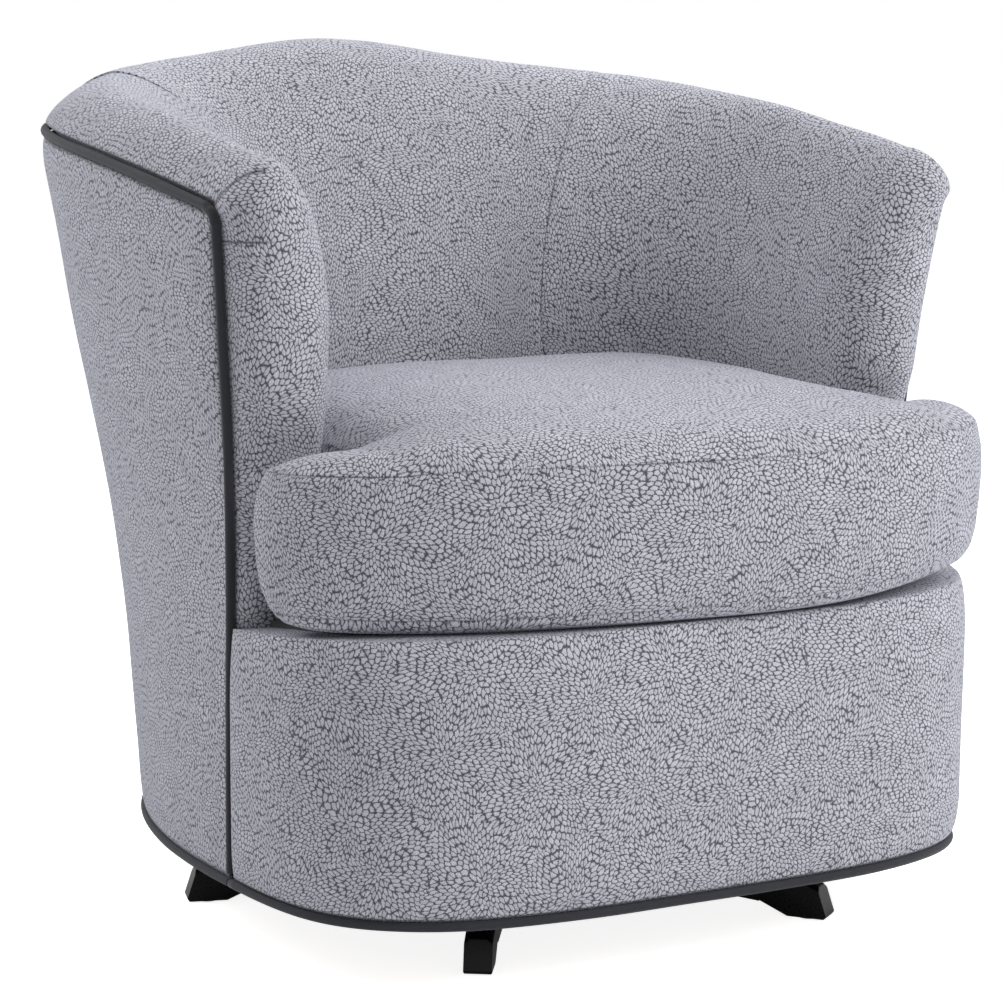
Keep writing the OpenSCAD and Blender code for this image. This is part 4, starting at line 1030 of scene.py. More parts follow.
@dataclass(frozen=True)
class SawnTimber:
    """Unfinished hardwood and plywood of the frame."""

    pale: Triple = (0.56, 0.40, 0.24)
    dark: Triple = (0.36, 0.23, 0.12)

    def build(self, shop: Workshop) -> Material:
        """Build the material.

        Args:
            shop: Workshop with the shared node groups.

        Returns:
            The material.
        """
        material, b, shader = shop.start("sawn_timber")
        place = solid_place(b)
        stretch = b.set(b.node("Mapping"), Vector=place, Scale=(9.0, 60.0, 60.0)).outputs[0]
        rings = b.set(b.node("TexNoise"), Vector=stretch, Scale=3.0, Detail=5.0, Distortion=0.7)
        mottle = b.place_group(shop.mottle, Vector=place, Broad_Scale=14.0, Fine_Scale=420.0, Amount=0.35)
        grain = b.colour(b.step(rings.outputs["Fac"], 0.35, 0.65), self.dark, self.pale)
        b.set(shader, Base_Color=b.scaled(grain, mottle.outputs["Tone"]),
              Roughness=b.step(rings.outputs["Fac"], 0.3, 0.7, 0.8, 0.62))
        b.emboss(shader, rings.outputs["Fac"], strength=0.4, distance=0.0003)
        return material


@dataclass(frozen=True)
class DeckCloth:
    """Plain dark cloth of the seat deck and the dust cover."""

    name: str = "deck_cloth"
    thread: Triple = (0.060, 0.060, 0.066)
    pick: float = 0.0012

    def build(self, shop: Workshop) -> Material:
        """Build the material.

        Args:
            shop: Workshop with the shared node groups.

        Returns:
            The material.
        """
        material, b, shader = shop.start(self.name)
        place = cloth_map(b)
        heights = []
        for direction in ("X", "Y"):
            wave = b.set(b.node("TexWave", wave_type="BANDS", bands_direction=direction), Vector=place,
                         Scale=0.5 / self.pick, Distortion=0.4)
            heights.append(wave.outputs["Fac"])
        weave = b.sum("MULTIPLY", heights[0], heights[1])
        mottle = b.place_group(shop.mottle, Vector=place, Broad_Scale=18.0, Fine_Scale=1100.0, Amount=0.3)
        light = b.sum("MULTIPLY", b.step(weave, 0.0, 0.8, 0.6, 1.25), mottle.outputs["Tone"])
        b.set(shader, Base_Color=b.scaled(self.thread, light),
              Roughness=b.step(mottle.outputs["Grain"], 0.2, 0.8, 0.85, 0.97), Sheen_Weight=0.2)
        b.emboss(shader, weave, strength=0.5, distance=0.0003)
        return material


# Mesh making

@dataclass
class Cover:
    """A grid of points that becomes one cloth-covered piece."""

    name: str
    points: Array
    cloth: Array
    # painted shade per point, which darkens the fabric's colour along seams, darts and tucks
    painted_shade: Optional[Array] = None
    thickness: float = 0.002
    closed_across: bool = False
    turned: bool = False
    pieced: tuple[tuple[int, Array], ...] = ()

    def _map_from(self, row: int) -> Array:
        """Cloth map of the pattern piece that starts at or before a row."""
        return [cloth for start, cloth in ((0, self.cloth), *self.pieced) if start <= row][-1]

    def build(self, material: Material) -> Piece:
        """Make the piece: a grid laid over the points, given its cloth map and its thickness.

        Args:
            material: What the piece is dressed in.

        Returns:
            The finished object, unturned at the origin.
        """
        rows, columns = self.points.shape[:2]
        bm = bmesh.new()
        bmesh.ops.create_grid(bm, x_segments=columns - 1, y_segments=rows - 1, size=0.5)
        cloth = bm.loops.layers.uv.new("cloth")
        # painted shade: each point carries a shade value that the fabric's colour is darkened by
        painted_shade = bm.verts.layers.float.new("painted_shade")
        shade = np.zeros((rows, columns)) if self.painted_shade is None else self.painted_shade
        where = {}
        for vert in bm.verts:
            row, column = round((vert.co.y + 0.5) * (rows - 1)), round((vert.co.x + 0.5) * (columns - 1))
            where[vert] = row, column
            vert.co = self.points[row, column]
            vert[painted_shade] = float(shade[row, column])
        for face in bm.faces:
            laid = self._map_from(min(where[v][0] for v in face.verts))
            for loop in face.loops:
                loop[cloth].uv = laid[where[loop.vert]]
        if self.closed_across:
            bmesh.ops.remove_doubles(bm, verts=bm.verts, dist=1e-6)
        if self.turned:
            bmesh.ops.reverse_faces(bm, faces=bm.faces[:])
        bm.normal_update()
        if self.thickness:
            bmesh.ops.solidify(bm, geom=bm.faces[:], thickness=self.thickness)
        for face in bm.faces:
            face.smooth = True
        for edge in bm.edges:
            edge.smooth = edge.calc_face_angle(0.0) < SHARP_FOLD
        return finish_mesh(bm, self.name, material)


def close_ends(made: Piece) -> Piece:
    """Fill the open ends of a piece and turn its faces outward.

    Args:
        made: The piece.

    Returns:
        The same piece.
    """
    bm = bmesh.new()
    bm.from_mesh(made.data)
    bmesh.ops.holes_fill(bm, edges=[e for e in bm.edges if e.is_boundary], sides=0)
    bmesh.ops.recalc_face_normals(bm, faces=bm.faces[:])
    bm.to_mesh(made.data)
    bm.free()
    return made


def finish_mesh(bm: bmesh.types.BMesh, name: str, material: Material) -> Piece:
    """Turn a bmesh into an object in the scene.

    Args:
        bm: The bmesh, which is freed.
        name: The object's name.
        material: Its material.

    Returns:
        The object.
    """
    mesh = bpy.data.meshes.new(name)
    bm.to_mesh(mesh)
    bm.free()
    mesh.materials.append(material)
    made = bpy.data.objects.new(name, mesh)
    bpy.context.scene.collection.objects.link(made)
    return made


def cloth_of(points: Array, middle: int = 0, straight_row: Optional[int] = None) -> Array:
    """Cloth map of a grid: lengths along its rows and down its columns.

    Args:
        points: The grid of points.
        middle: The column that the map's first value is zero on.
        straight_row: The row whose lengths every row takes, so that the cloth isn't skewed round a bend.

    Returns:
        The map, rows by columns by two.
    """
    across, down = run_lengths(points, 1), run_lengths(points, 0)
    if straight_row is not None:
        across = np.broadcast_to(across[[straight_row]], across.shape)
    return np.stack([across - across[:, [middle]], -down], axis=-1)


def tuck_shade(gap: Array) -> Array:
    """Shade of the cloth where it tucks in beside a cord, from its distance to the cord."""
    return TUCK_SHADE * fade(np.maximum(gap, 0.0), TUCK_REACH)


@dataclass
class TubeTrim:
    """A round cord sewn into a seam, along a run of points."""

    name: str
    run: Array
    out: Array
    radius: float
    sides: int = 14
    closed: bool = False

    def build(self, material: Material) -> Piece:
        """Make the cord as one closed tube.

        Args:
            material: What it is dressed in.

        Returns:
            The finished cord.
        """
        run = np.concatenate([self.run, self.run[:1]]) if self.closed else self.run
        out = np.concatenate([self.out, self.out[:1]]) if self.closed else self.out
        if self.closed:
            ahead = np.concatenate([run[1:], run[1:2]]) - np.concatenate([run[-2:-1], run[:-1]])
        else:
            ahead = np.gradient(run, axis=0)
        ahead = unit(ahead)
        side = unit(out - (out * ahead).sum(1, keepdims=True) * ahead)
        lift = np.cross(ahead, side)
        g = np.linspace(0, 2 * np.pi, self.sides + 1)
        ring = np.cos(g)[None, :, None] * side[:, None] + np.sin(g)[None, :, None] * lift[:, None]
        length = running(np.linalg.norm(np.diff(run, axis=0), axis=1))
        pull = 1 + 0.03 * np.sin(length / 0.021)[:, None, None]
        points = run[:, None] + self.radius * pull * ring
        cloth = np.stack([np.broadcast_to(length[:, None], points.shape[:2]),
                          np.broadcast_to(self.radius * g[None], points.shape[:2])], axis=-1)
        return close_ends(Cover(self.name, points, cloth, thickness=0.0, closed_across=True).build(material))


# Sub-assemblies

@dataclass
class OutsideCovers:
    """Tight outside arms and outside back, between the piping and the bottom welt."""

    form: ChairForm
    rows: int = 90
    slack_depth: float = 0.0011
    slack_size: float = 0.11
    calm_run: float = 0.05
    seam_depth: float = 0.0022
    seam_reach: float = 0.006
    seam_shade: float = 0.55
    seam_shade_reach: float = 0.0022
    under: float = 0.003

    def _panel(self, node: str, u0: float, u1: float, columns: int, seed: float) -> Cover:
        """Lay one panel over the shell between two shares of its run.

        Args:
            node: CAD node that the panel replaces.
            u0: Share at which the panel starts.
            u1: Share at which it ends.
            columns: How many columns of points it has.
            seed: Offset that gives the panel its own unevenness and place in the pattern.

        Returns:
            The cover, not yet built.
        """
        f = self.form
        u = lerp(u0, u1, spread(columns, 0.35))[None, :]
        low, high = f.low_z - self.under, f.top_z(u) - f.welt_seat
        share = np.union1d(spread(self.rows, 0.55), np.linspace(0.010, 0.022, 9))[:, None]
        z = lerp(low, high, share)
        u = np.broadcast_to(u, z.shape)
        uneven = slack(f.shell_pt(u, z, 0.0), self.slack_size, seed)
        calm = ease((z - f.low_z) / self.calm_run) * ease((f.top_z(u) - z) / self.calm_run)
        gap = np.minimum(np.abs(u - u0), np.abs(u - u1)) * f.top_rail.length
        seam = np.where(np.abs(np.abs(u) - f.seam_back_share) < 0.2, fade(gap, self.seam_reach), 0.0)
        out = f.shell_swell(u, z) + self.slack_depth * uneven * calm - self.seam_depth * seam
        points = f.placed(f.shell_pt(u, z, -out))[::-1]
        # painted shade along the seams between the outside back and the outside arms, and where the cloth tucks in by
        # the welt, the top piping and the arm fronts' piping
        shade = self.seam_shade * fade(gap, self.seam_shade_reach) * (seam > 0.01)
        for edge in (z - f.low_z - f.welt_r - 0.0016, high - z, (1 - np.abs(u)) * f.top_rail.length - f.welt_seat):
            shade = np.maximum(shade, tuck_shade(edge))
        return Cover(node + "_cover", points, cloth_of(points, columns // 2) + seed, shade[::-1])

    def build(self, material: Material) -> list[Piece]:
        """Make the three panels on the chair.

        Args:
            material: What it is dressed in.

        Returns:
            The finished pieces.
        """
        f = self.form
        edge = 1 - (f.welt_seat + 0.0006) / f.top_rail.length
        panels = [("outside_arm_left", -edge, -f.seam_back_share, 110, 1.3),
                  ("outside_back", -f.seam_back_share, f.seam_back_share, 150, 2.7),
                  ("outside_arm_right", f.seam_back_share, edge, 110, 3.9)]
        return seat_covers([self._panel(*panel) for panel in panels], material)


@dataclass
class InsideCovers:
    """Padded inside arms and inside back, run over the rolled top to the piping."""

    form: ChairForm
    cap_rows: int = 22
    roll_rows: int = 60
    flat_rows: int = 26
    slack_depth: float = 0.0016
    tucked_in: float = 0.009
    cap_share: float = 0.3125
    roll_share: float = 0.5
    slack_size: float = 0.12
    wrinkle: float = 0.35
    wrinkle_size: float = 0.045
    seam_depth: float = 0.0018
    seam_reach: float = 0.010
    seam_shade: float = 0.32
    seam_shade_reach: float = 0.0014
    left_seam_from: float = 0.48
    right_seam_from: float = 0.28
    seam_ease: float = 0.18

    def _rows(self) -> tuple[Array, Array, Array]:
        """Stretch, share along it and place down the section of each row, the first one twice for the tuck.

        Returns:
            The stretch, the share along it and the place down the section.
        """
        cap, roll, flat = (np.linspace(0, 1, n) for n in (self.cap_rows, self.roll_rows, self.flat_rows))
        kind = np.repeat([stretch.value for stretch in Stretch], [cap.size, roll.size - 1, flat.size - 1])
        t = np.concatenate([cap, roll[1:], flat[1:]])
        below = self.cap_share + self.roll_share
        down = np.concatenate([self.cap_share * cap, self.cap_share + self.roll_share * roll[1:],
                               lerp(below, 1.0, flat[1:])])
        kind, t, down = (np.concatenate([a[:1], a]) for a in (kind, t, down))
        return kind, t, down

    def _panel(self, node: str, side: int, columns: int, seed: float) -> Cover:
        """Lay one panel: side is -1 or 1 for an arm, 0 for the back.

        Args:
            node: CAD node that the panel replaces.
            side: -1 for the left, 1 for the right and 0 for the back.
            columns: How many columns of points it has.
            seed: Offset that gives the panel its own unevenness and place in the pattern.

        Returns:
            The cover, not yet built.
        """
        f = self.form
        kind, t, down = self._rows()
        seam = lerp(f.seam_top_share, f.seam_seat_share, down)[:, None]
        c = spread(columns, 0.3)[None, :]
        u = seam * (2 * c - 1) if side == 0 else side * lerp(seam, 1.0, c)
        kind, t = (np.broadcast_to(a[:, None], u.shape) for a in (kind, t))
        depth, z = f.pad_section(u, kind, t)
        points = f.pad_place(u, depth, z)
        normal = grid_normals(points)
        facing = normal[self.cap_rows + self.roll_rows // 2, columns // 2]
        normal = normal * (-side * np.sign(facing[0] or 1.0) if side else -np.sign(facing[1] or 1.0))
        gap = np.abs(np.abs(u) - seam) * f.top_rail.length
        end = (1 - np.abs(u)) * f.top_rail.length
        down = down[:, None]
        shown = ease((down - np.where(u < 0, self.left_seam_from, self.right_seam_from)) / self.seam_ease)
        dip = self.seam_depth * fade(gap, self.seam_reach) * shown
        calm = ease(down / 0.12) * ease(end / 0.05)
        uneven = slack(points, self.slack_size, seed) + self.wrinkle * slack(points, self.wrinkle_size, seed + 5)
        points = points + normal * (self.slack_depth * uneven * calm - dip)[..., None]
        points[0] -= self.tucked_in * normal[2] + [0, 0, 0.4 * self.tucked_in]
        points = f.placed(points)
        # painted shade along the lower part of the seams between the back and the arms, and where the cloth tucks in
        # under the piping
        seam_painted_shade = self.seam_shade * fade(gap, self.seam_shade_reach) * shown
        painted_shade = np.maximum(seam_painted_shade, 0.7 * tuck_shade(down * 0.25))
        if side < 0:
            points, painted_shade = points[:, ::-1], painted_shade[:, ::-1]
        cloth = cloth_of(points, columns // 2, self.cap_rows + self.roll_rows // 3)
        return Cover(node + "_cover", points, cloth + seed, painted_shade, turned=True)

    def build(self, material: Material) -> list[Piece]:
        """Make the three panels on the chair.

        Args:
            material: What it is dressed in.

        Returns:
            The finished pieces.
        """
        panels = [("inside_arm_left", -1, 110, 11.1), ("inside_back", 0, 150, 12.7),
                  ("inside_arm_right", 1, 110, 13.9)]
        return seat_covers([self._panel(*panel) for panel in panels], material)


@dataclass
class ArmFronts:
    """Rounded ends of the arms, with two short darts at the top."""

    form: ChairForm
    low_rows: int = 70
    cap_rows: int = 64
    columns: int = 96
    slack_depth: float = 0.0012
    slack_size: float = 0.06
    dart_depth: float = 0.0015
    dart_bend: float = 0.28
    dart_shade: float = 0.9
    bulge_from_z: float = 0.420
    bulge_rise: float = 0.080
    top_dart_z: float = 0.659
    top_dart_rise: float = 0.028
    side_dart_z: float = 0.628

    def _rim(self, z: Array) -> tuple[Array, Array]:
        """Depths of the near and far rims at a height, which are the ends of the inside arm.

        Args:
            z: Heights over the floor.

        Returns:
            The depths of the near and of the far rim.
        """
        f = self.form
        one = np.array(1.0)
        s, c, r, a = f.top_front_z + f.welt_seat, f.crest_z(one), f.roll_start_front_z, f.roll_front
        inner = f.inside_depth(one)
        up, over = clamp01((z - s) / (c - s)), clamp01((z - r) / (c - r))
        cap = a - a * np.clip(1 - up ** f.cap_power, 0, 1) ** (1 / f.cap_power)
        roll = a + (inner - a) * np.clip(1 - over ** f.roll_power, 0, 1) ** (1 / f.roll_power)
        return np.where(z > s, cap, f.lean(np.ones_like(z), z) + f.welt_seat * clamp01((s - z) / 0.012)), roll

    def _darts(self, g: Array, z: Array) -> Array:
        """How deep the two short darts pull at the cloth: one from the piping's corner, one below it.

        Args:
            g: Angles across the arm front, 0 at its outer rim.
            z: Heights over the floor.

        Returns:
            The pull, as a share of a dart's depth.
        """
        bend = np.exp(-g / self.dart_bend)
        rise = self.top_dart_rise * (1 - bend)
        upper = fade(z - self.top_dart_z - rise, 0.0013 * (1 + 2.2 * bend)) * ease((1.35 - g) / 0.3)
        return np.maximum(upper, fade(z - self.side_dart_z, 0.0011) * ease((1.45 - g) / 0.6))

    def _front(self, node: str, side: int, seed: float) -> Cover:
        """Lay one arm front over its rim.

        Args:
            node: CAD node that the panel replaces.
            side: -1 for the left, 1 for the right and 0 for the back.
            seed: Offset that gives the panel its own unevenness and place in the pattern.

        Returns:
            The cover, not yet built.
        """
        f = self.form
        crest = float(f.crest_z(np.array(1.0)))
        foot = float(f.rail_top(side * f.front_end)) - 0.001
        dart_rows = self.side_dart_z + np.linspace(-0.006, 0.006, 17)
        low = np.union1d(np.linspace(foot, f.top_front_z, self.low_rows), dart_rows)
        cap = f.top_front_z + (crest - f.top_front_z) * np.sin(np.radians(np.linspace(0, 89.4, self.cap_rows)[1:]))
        z = np.concatenate([low, cap])[:, None]
        near, far = self._rim(z)
        g = np.linspace(0, np.pi, self.columns)[None, :]
        depth = lerp(near, far, (1 - np.cos(g)) / 2)
        u = np.full(depth.shape, float(side))
        zz = np.broadcast_to(z, depth.shape)
        gg = np.broadcast_to(g, depth.shape)
        points = f.pad_place(u, depth, zz)
        up = clamp01((zz - f.top_front_z) / (crest - f.top_front_z))
        full = ease((zz - self.bulge_from_z) / self.bulge_rise)
        bulge = lerp(f.arm_low_bulge, f.arm_bulge, full) * np.sqrt(1 - up ** 2)
        uneven = slack(points, self.slack_size, seed) * self.slack_depth * np.sin(g) ** 2
        darts = self._darts(gg, zz)
        points[..., 1] -= 0.0005 + bulge * np.sin(g).clip(0, 1) ** 0.8 + uneven - self.dart_depth * darts
        points = f.placed(points)
        # painted shade in the two darts at the arm front's top
        painted_shade = self.dart_shade * darts
        if side > 0:
            points, painted_shade = points[:, ::-1], painted_shade[:, ::-1]
        return Cover(node + "_cover", points[::-1], cloth_of(points, self.columns // 2)[::-1] + seed,
                     painted_shade[::-1], turned=True)

    def build(self, material: Material) -> list[Piece]:
        """Make both arm fronts."""
        fronts = [self._front("arm_front_left", -1, 21.3), self._front("arm_front_right", 1, 22.9)]
        return seat_covers(fronts, material)


@dataclass
class FrontRailCover:
    """Bow-front panel under the cushion, turned in over its top edge."""

    form: ChairForm
    rows: int = 70
    columns: int = 200
    turned_in: float = 0.034
    under: float = 0.003
    slack_depth: float = 0.0012
    slack_size: float = 0.12
    seed: float = 31.0

    def build(self, material: Material) -> list[Piece]:
        """Make the panel.

        Args:
            material: What it is dressed in.

        Returns:
            The finished pieces.
        """
        f = self.form
        v = lerp(-f.front_end, f.front_end, spread(self.columns, 0.5))[None, :]
        share = np.union1d(spread(self.rows, 0.5), np.linspace(0.026, 0.058, 14))[:, None]
        face = lerp(f.low_z - self.under, f.rail_top(v), share)
        over = self.turned_in * np.linspace(0, 1, 9)[1:, None]
        v_face, v_over = np.broadcast_to(v, face.shape), np.broadcast_to(v, (len(over), self.columns))
        uneven = slack(f.front_pt(v_face, face, 0.0), self.slack_size, self.seed)
        calm = ease((face - f.low_z) / 0.05) * ease((f.front_end - np.abs(v_face)) * f.front_rail.length / 0.06)
        front = f.front_pt(v_face, face, -(f.front_swell_at(v_face, face) + self.slack_depth * uneven * calm))
        top = f.front_pt(v_over, np.broadcast_to(f.rail_top(v), v_over.shape), over)
        points = f.placed(np.concatenate([front, top - [0, 0, 0.0004]]))
        # painted shade just above the bottom welt and at both ends of the panel beside the arm fronts
        tucked = 1.15 * tuck_shade(1.6 * (face - f.low_z - f.welt_r - 0.0012))
        side_tuck = tuck_shade((f.front_end - np.abs(v_face)) * f.front_rail.length)
        painted_shade = np.concatenate([np.maximum(tucked, side_tuck), np.zeros(v_over.shape)])
        cloth = cloth_of(points, self.columns // 2) * [1, -1] + self.seed
        cover = Cover("front_rail_cover", points, cloth, painted_shade)
        return [seat_piece(cover.build(material), "front_rail_pad")]


@dataclass
class Trims:
    """Piping along the top edge and down the arm fronts, and the welt round the bottom."""

    form: ChairForm
    corner: float = 0.012
    low_cord_r: float = 0.0039

    def _piping(self) -> TubeTrim:
        """Route the piping up one arm front, round the back and down the other.

        Returns:
            The cord, not yet built.
        """
        f = self.form
        run = f.top_rail.length
        share = self.corner / run
        foot = f.low_z + 2 * f.welt_r + 0.0003

        def side(sign: float) -> Array:
            """Run up one arm front."""
            z = np.linspace(foot, f.top_front_z - self.corner, 150)
            return xyz(*f.shell_xy(np.full(z.shape, sign), z), z)

        def bend(sign: float) -> Array:
            """Turn the top corner of one arm front.

            Args:
                sign: -1 for the left and 1 for the right.

            Returns:
                Points along it.
            """
            g = np.radians(np.linspace(11, 79, 7))
            plan = f.top_rail.at(sign * (1 - share * (1 - np.cos(g))))
            return xyz(*plan, f.top_front_z - self.corner * (1 - np.sin(g)))

        u = np.linspace(share - 1, 1 - share, 420)
        top = xyz(*f.top_rail.at(u), f.top_z(u))
        rise = [np.concatenate([side(sign), bend(sign)]) for sign in (-1.0, 1.0)]
        route = np.concatenate([rise[0], top, rise[1][::-1]])
        shares = np.concatenate([np.full(len(rise[0]), -1.0), u, np.full(len(rise[1]), 1.0)])
        out = xyz(*f.top_rail.outward(shares), 0.0)
        return TubeTrim("arm_and_back_piping_cord", f.placed(route), out, f.welt_r)

    def _welt(self) -> TubeTrim:
        """Route the welt round the bottom edge.

        Returns:
            The cord, not yet built.
        """
        f = self.form
        u = np.linspace(-1, 1, 300)
        v = f.front_end * np.linspace(1, -1, 202)[1:-1]
        z = f.low_z - f.welt_r + self.low_cord_r
        run = np.concatenate([f.shell_pt(u, z, 0.0), f.front_pt(v, z, 0.0)])
        around = np.roll(run, -1, axis=0) - np.roll(run, 1, axis=0)
        out = unit(xyz(around[:, 1], -around[:, 0], 0.0))
        return TubeTrim("bottom_welt_cord", f.placed(run), out, self.low_cord_r, closed=True)

    def build(self, material: Material) -> list[Piece]:
        """Make both cords."""
        return [put_in_place(trim.build(material), trim.name.removesuffix("_cord"), "chair")
                for trim in (self._piping(), self._welt())]


@dataclass
class SeatCushion:
    """Loose T-shaped cushion: a sewn band under a crowned top, with an ear in front of each arm."""

    form: ChairForm
    half_w: float = 0.354
    front: float = 0.3683
    low_z: float = 0.3073
    stuffing: float = 0.153
    crown: float = 0.036
    ear_turn: float = 0.011
    notch_turn: float = 0.012
    front_power: float = 2.32
    drift: float = -0.0043
    skew: float = -0.0231
    left_droop: float = 0.0048
    right_rise: float = 0.011
    right_lift: float = 0.0234
    half_reach: float = 0.35
    crown_middle_y: float = 0.020
    crown_half_w: float = 0.272
    crown_past_front: float = 0.017
    crown_past_back: float = 0.007
    crown_power: float = 2.6
    loose: float = 0.003
    slack_depth: float = 0.0014
    stitch: float = 0.0013
    stitch_reach: float = 0.0008
    heart_y: float = -0.245
    cells: int = 84
    under_rings: int = 9
    low_rows: int = 8
    band_rows: int = 24
    top_rows: int = 10
    crown_rings: int = 40
    side: tuple[tuple[float, float], ...] = (
        (0.0510, 0.0), (0.0310, 0.0008), (0.0190, 0.005), (0.0112, 0.014), (0.0052, 0.032), (0.0017, 0.058),
        (0.0, 0.088), (0.0015, 0.112), (0.0070, 0.132), (0.0090, 0.1365), (0.0155, 0.1405), (0.0270, 0.1465),
        (0.0410, 0.1510), (0.0600, 0.1530))
    low_seam: int = 3
    top_seam: int = 9

    def outline(self, inset: float, share: Array) -> Array:
        """Plan points at an inset, at signed shares of half the way round from the back's middle.

        Args:
            inset: How far in, square to the outline.
            share: Signed shares of half the way round.

        Returns:
            The points, one x and y a row.
        """
        f = self.form
        w = f.inside_half_w - f.inside_narrowing - self.loose - inset
        wide, back_y = self.half_w - inset, f.inside_back_y - self.loose - inset
        y = f.arm_front_top + f.arm_low_bulge + 0.002 + inset
        n = np.radians(np.linspace(0, 90, 12))
        back = np.stack(arc(w + f.inside_narrowing, back_y, f.inside_power, 60), axis=-1)
        notch = np.stack([w + self.notch_turn * (1 - np.cos(n)), self.notch_turn * (1 - np.sin(n)) - y], axis=-1)
        ear = np.stack([wide - self.ear_turn * (1 - np.sin(n)), -y - self.ear_turn * (1 - np.cos(n))], axis=-1)
        turn_y = -y - self.ear_turn
        bow_x, bow_y = arc(wide, self.front - inset + turn_y, self.front_power, 60)
        bow = np.stack([bow_x, turn_y - bow_y], axis=-1)[::-1]
        points = np.concatenate([back, [[w, -0.55 * y]], notch, ear, bow[1:]])
        return np.stack(PlanRail.through(points[:, 0], points[:, 1]).at(share), axis=-1)

    def crown_at(self, x: Array, y: Array) -> Array:
        """Height of the crown over the sewn edge, flatter towards the right arm.

        Args:
            x: Places along x, from the swivel axis.
            y: Places along y, from the swivel axis.

        Returns:
            The heights.
        """
        middle = self.crown_middle_y
        run = np.where(y < middle, self.front + self.crown_past_front, self.form.inside_back_y + self.crown_past_back)
        fall = lerp(3.6, 5.5, ease(x / 0.1))
        return self.crown * (1 - clamp01(np.abs(x) / self.crown_half_w) ** fall) * (
            1 - clamp01(np.abs(y - middle) / run) ** self.crown_power)

    def _side_run(self) -> tuple[Array, Array, Array, float, float]:
        """Side profile with its bends eased: run, inset and height, and where the two seams lie.

        Returns:
            The run, the inset and the height down the side, and the runs of the low and the top seam.
        """
        q = np.array(self.side)
        run = running(np.hypot(*np.diff(q, axis=0).T))
        fine = np.arange(0.0, run[-1], 0.0005)
        eased = [smoothed(np.interp(fine, run, q[:, k]), np.hanning(21)[1:-1], mode="reflect", reflect_type="odd")
                 for k in (0, 1)]
        return fine, eased[0], eased[1], float(run[self.low_seam]), float(run[self.top_seam])

    def settle(self, points: Array) -> Array:
        """Lean the plain form as the loose cushion lies: shifted, turned a little and fuller on one side.

        Args:
            points: Points of the plain form.

        Returns:
            The settled points.
        """
        p = points.copy()
        x, y = points[..., 0] / self.half_reach, points[..., 1]
        up = (points[..., 2] - self.low_z) / self.stuffing
        p[..., 2] += up * (self.right_rise * ease(x) ** 2 - self.left_droop * ease(-x) ** 2)
        p[..., 2] += self.right_lift * ease(x) ** 2 * (1 - up)
        p[..., 0] += self.drift * ease(-y / 0.15)
        p[..., 1] += self.skew * x * ease((-y - 0.175) / 0.12)
        return p

    def _rings(self) -> tuple[Array, Array, Array, tuple[int, int]]:
        """Rings of points from the underside's middle, over the band, to the crown's top.

        Returns:
            The rings, the run down the side of each, the seams' strength at each, and the seams' rows.
        """
        fine, inset, up, low, top = self._side_run()
        stitch = self.stitch
        at = np.concatenate([np.linspace(0.004, low - stitch, self.low_rows), [low],
                             np.linspace(low + stitch, top - stitch, self.band_rows), [top],
                             np.linspace(top + stitch, fine[-1] - 0.014, self.top_rows)])
        share = np.linspace(-1, 1, 4 * self.cells + 1)
        sewn = np.maximum(fade(at - low, self.stitch_reach), fade(at - top, self.stitch_reach))
        fullest = min(self.side)[1]
        sides = []
        for e, h, tuck in zip(np.interp(at, fine, inset), np.interp(at, fine, up), sewn):
            xy = self.outline(float(e) + 0.0012 * float(tuck), share)
            z = self.low_z + h + self.crown_at(*xy.T) * ease((h - fullest) / (self.stuffing - fullest))
            sides.append(xyz(*xy.T, z))
        rim = self.outline(0.0, share)
        heart = np.array([0.0, self.heart_y])
        lows, tops = [], []
        for w in np.linspace(0.02, 0.97, self.under_rings):
            xy = heart + w * (sides[0][:, :2] - heart)
            lows.append(xyz(*xy.T, self.low_z))
        for w in np.linspace(0.975, 0.02, self.crown_rings):
            xy = heart + w * (sides[-1][:, :2] - heart)
            near = np.sqrt(((xy[:, None] - rim[None]) ** 2).sum(axis=2)).min(axis=1)
            edge = np.interp(near, *np.array(self.side[self.top_seam:]).T)
            tops.append(xyz(*xy.T, self.low_z + edge + self.crown_at(*xy.T)))
        rings = np.array(lows + sides + tops)
        strength = np.concatenate([np.zeros(len(lows)), sewn, np.zeros(len(tops))])
        down = np.concatenate([np.zeros(len(lows)), at, np.full(len(tops), at[-1])])
        low_row = self.under_rings + self.low_rows
        return rings, down, strength, (low_row, low_row + 1 + self.band_rows)

    def build(self, material: Material) -> list[Piece]:
        """Make the cushion from three pattern pieces: underside, band and top.

        Args:
            material: What it is dressed in.

        Returns:
            The finished pieces.
        """
        rings, down, strength, (low_row, top_row) = self._rings()
        settled = self.settle(rings)
        uneven = slack(settled, 0.10, 43.0) + 0.4 * slack(settled, 0.04, 47.0)
        calm = ease((settled[..., 2] - self.low_z) / 0.03) * (1 - strength[:, None])
        normal = grid_normals(settled)
        crown_row = normal[-12].mean(axis=0)
        points = settled + np.sign(crown_row[2]) * normal * (self.slack_depth * uneven * calm)[..., None]
        plan = rings[..., :2]
        around = run_lengths(rings[[low_row + self.band_rows // 2]], 1)[0]
        band = np.stack([np.broadcast_to(around[None], rings.shape[:2]),
                         np.broadcast_to(down[:, None], rings.shape[:2])], axis=-1)
        # painted shade along the cushion's two sewn seams, stronger on the left, fading towards the right
        shown = strength[:, None] * lerp(0.55, 0.15, ease((rings[..., 0] + 0.22) / 0.25))
        cover = Cover("seat_cushion_cover", self.form.placed(points), plan + 57.0, shown, thickness=0.0,
                      closed_across=True, pieced=((low_row, band + 47.0), (top_row, plan + 41.0)))
        made = close_ends(cover.build(material))
        return [seat_piece(made, "seat_cushion", body="cushion")]


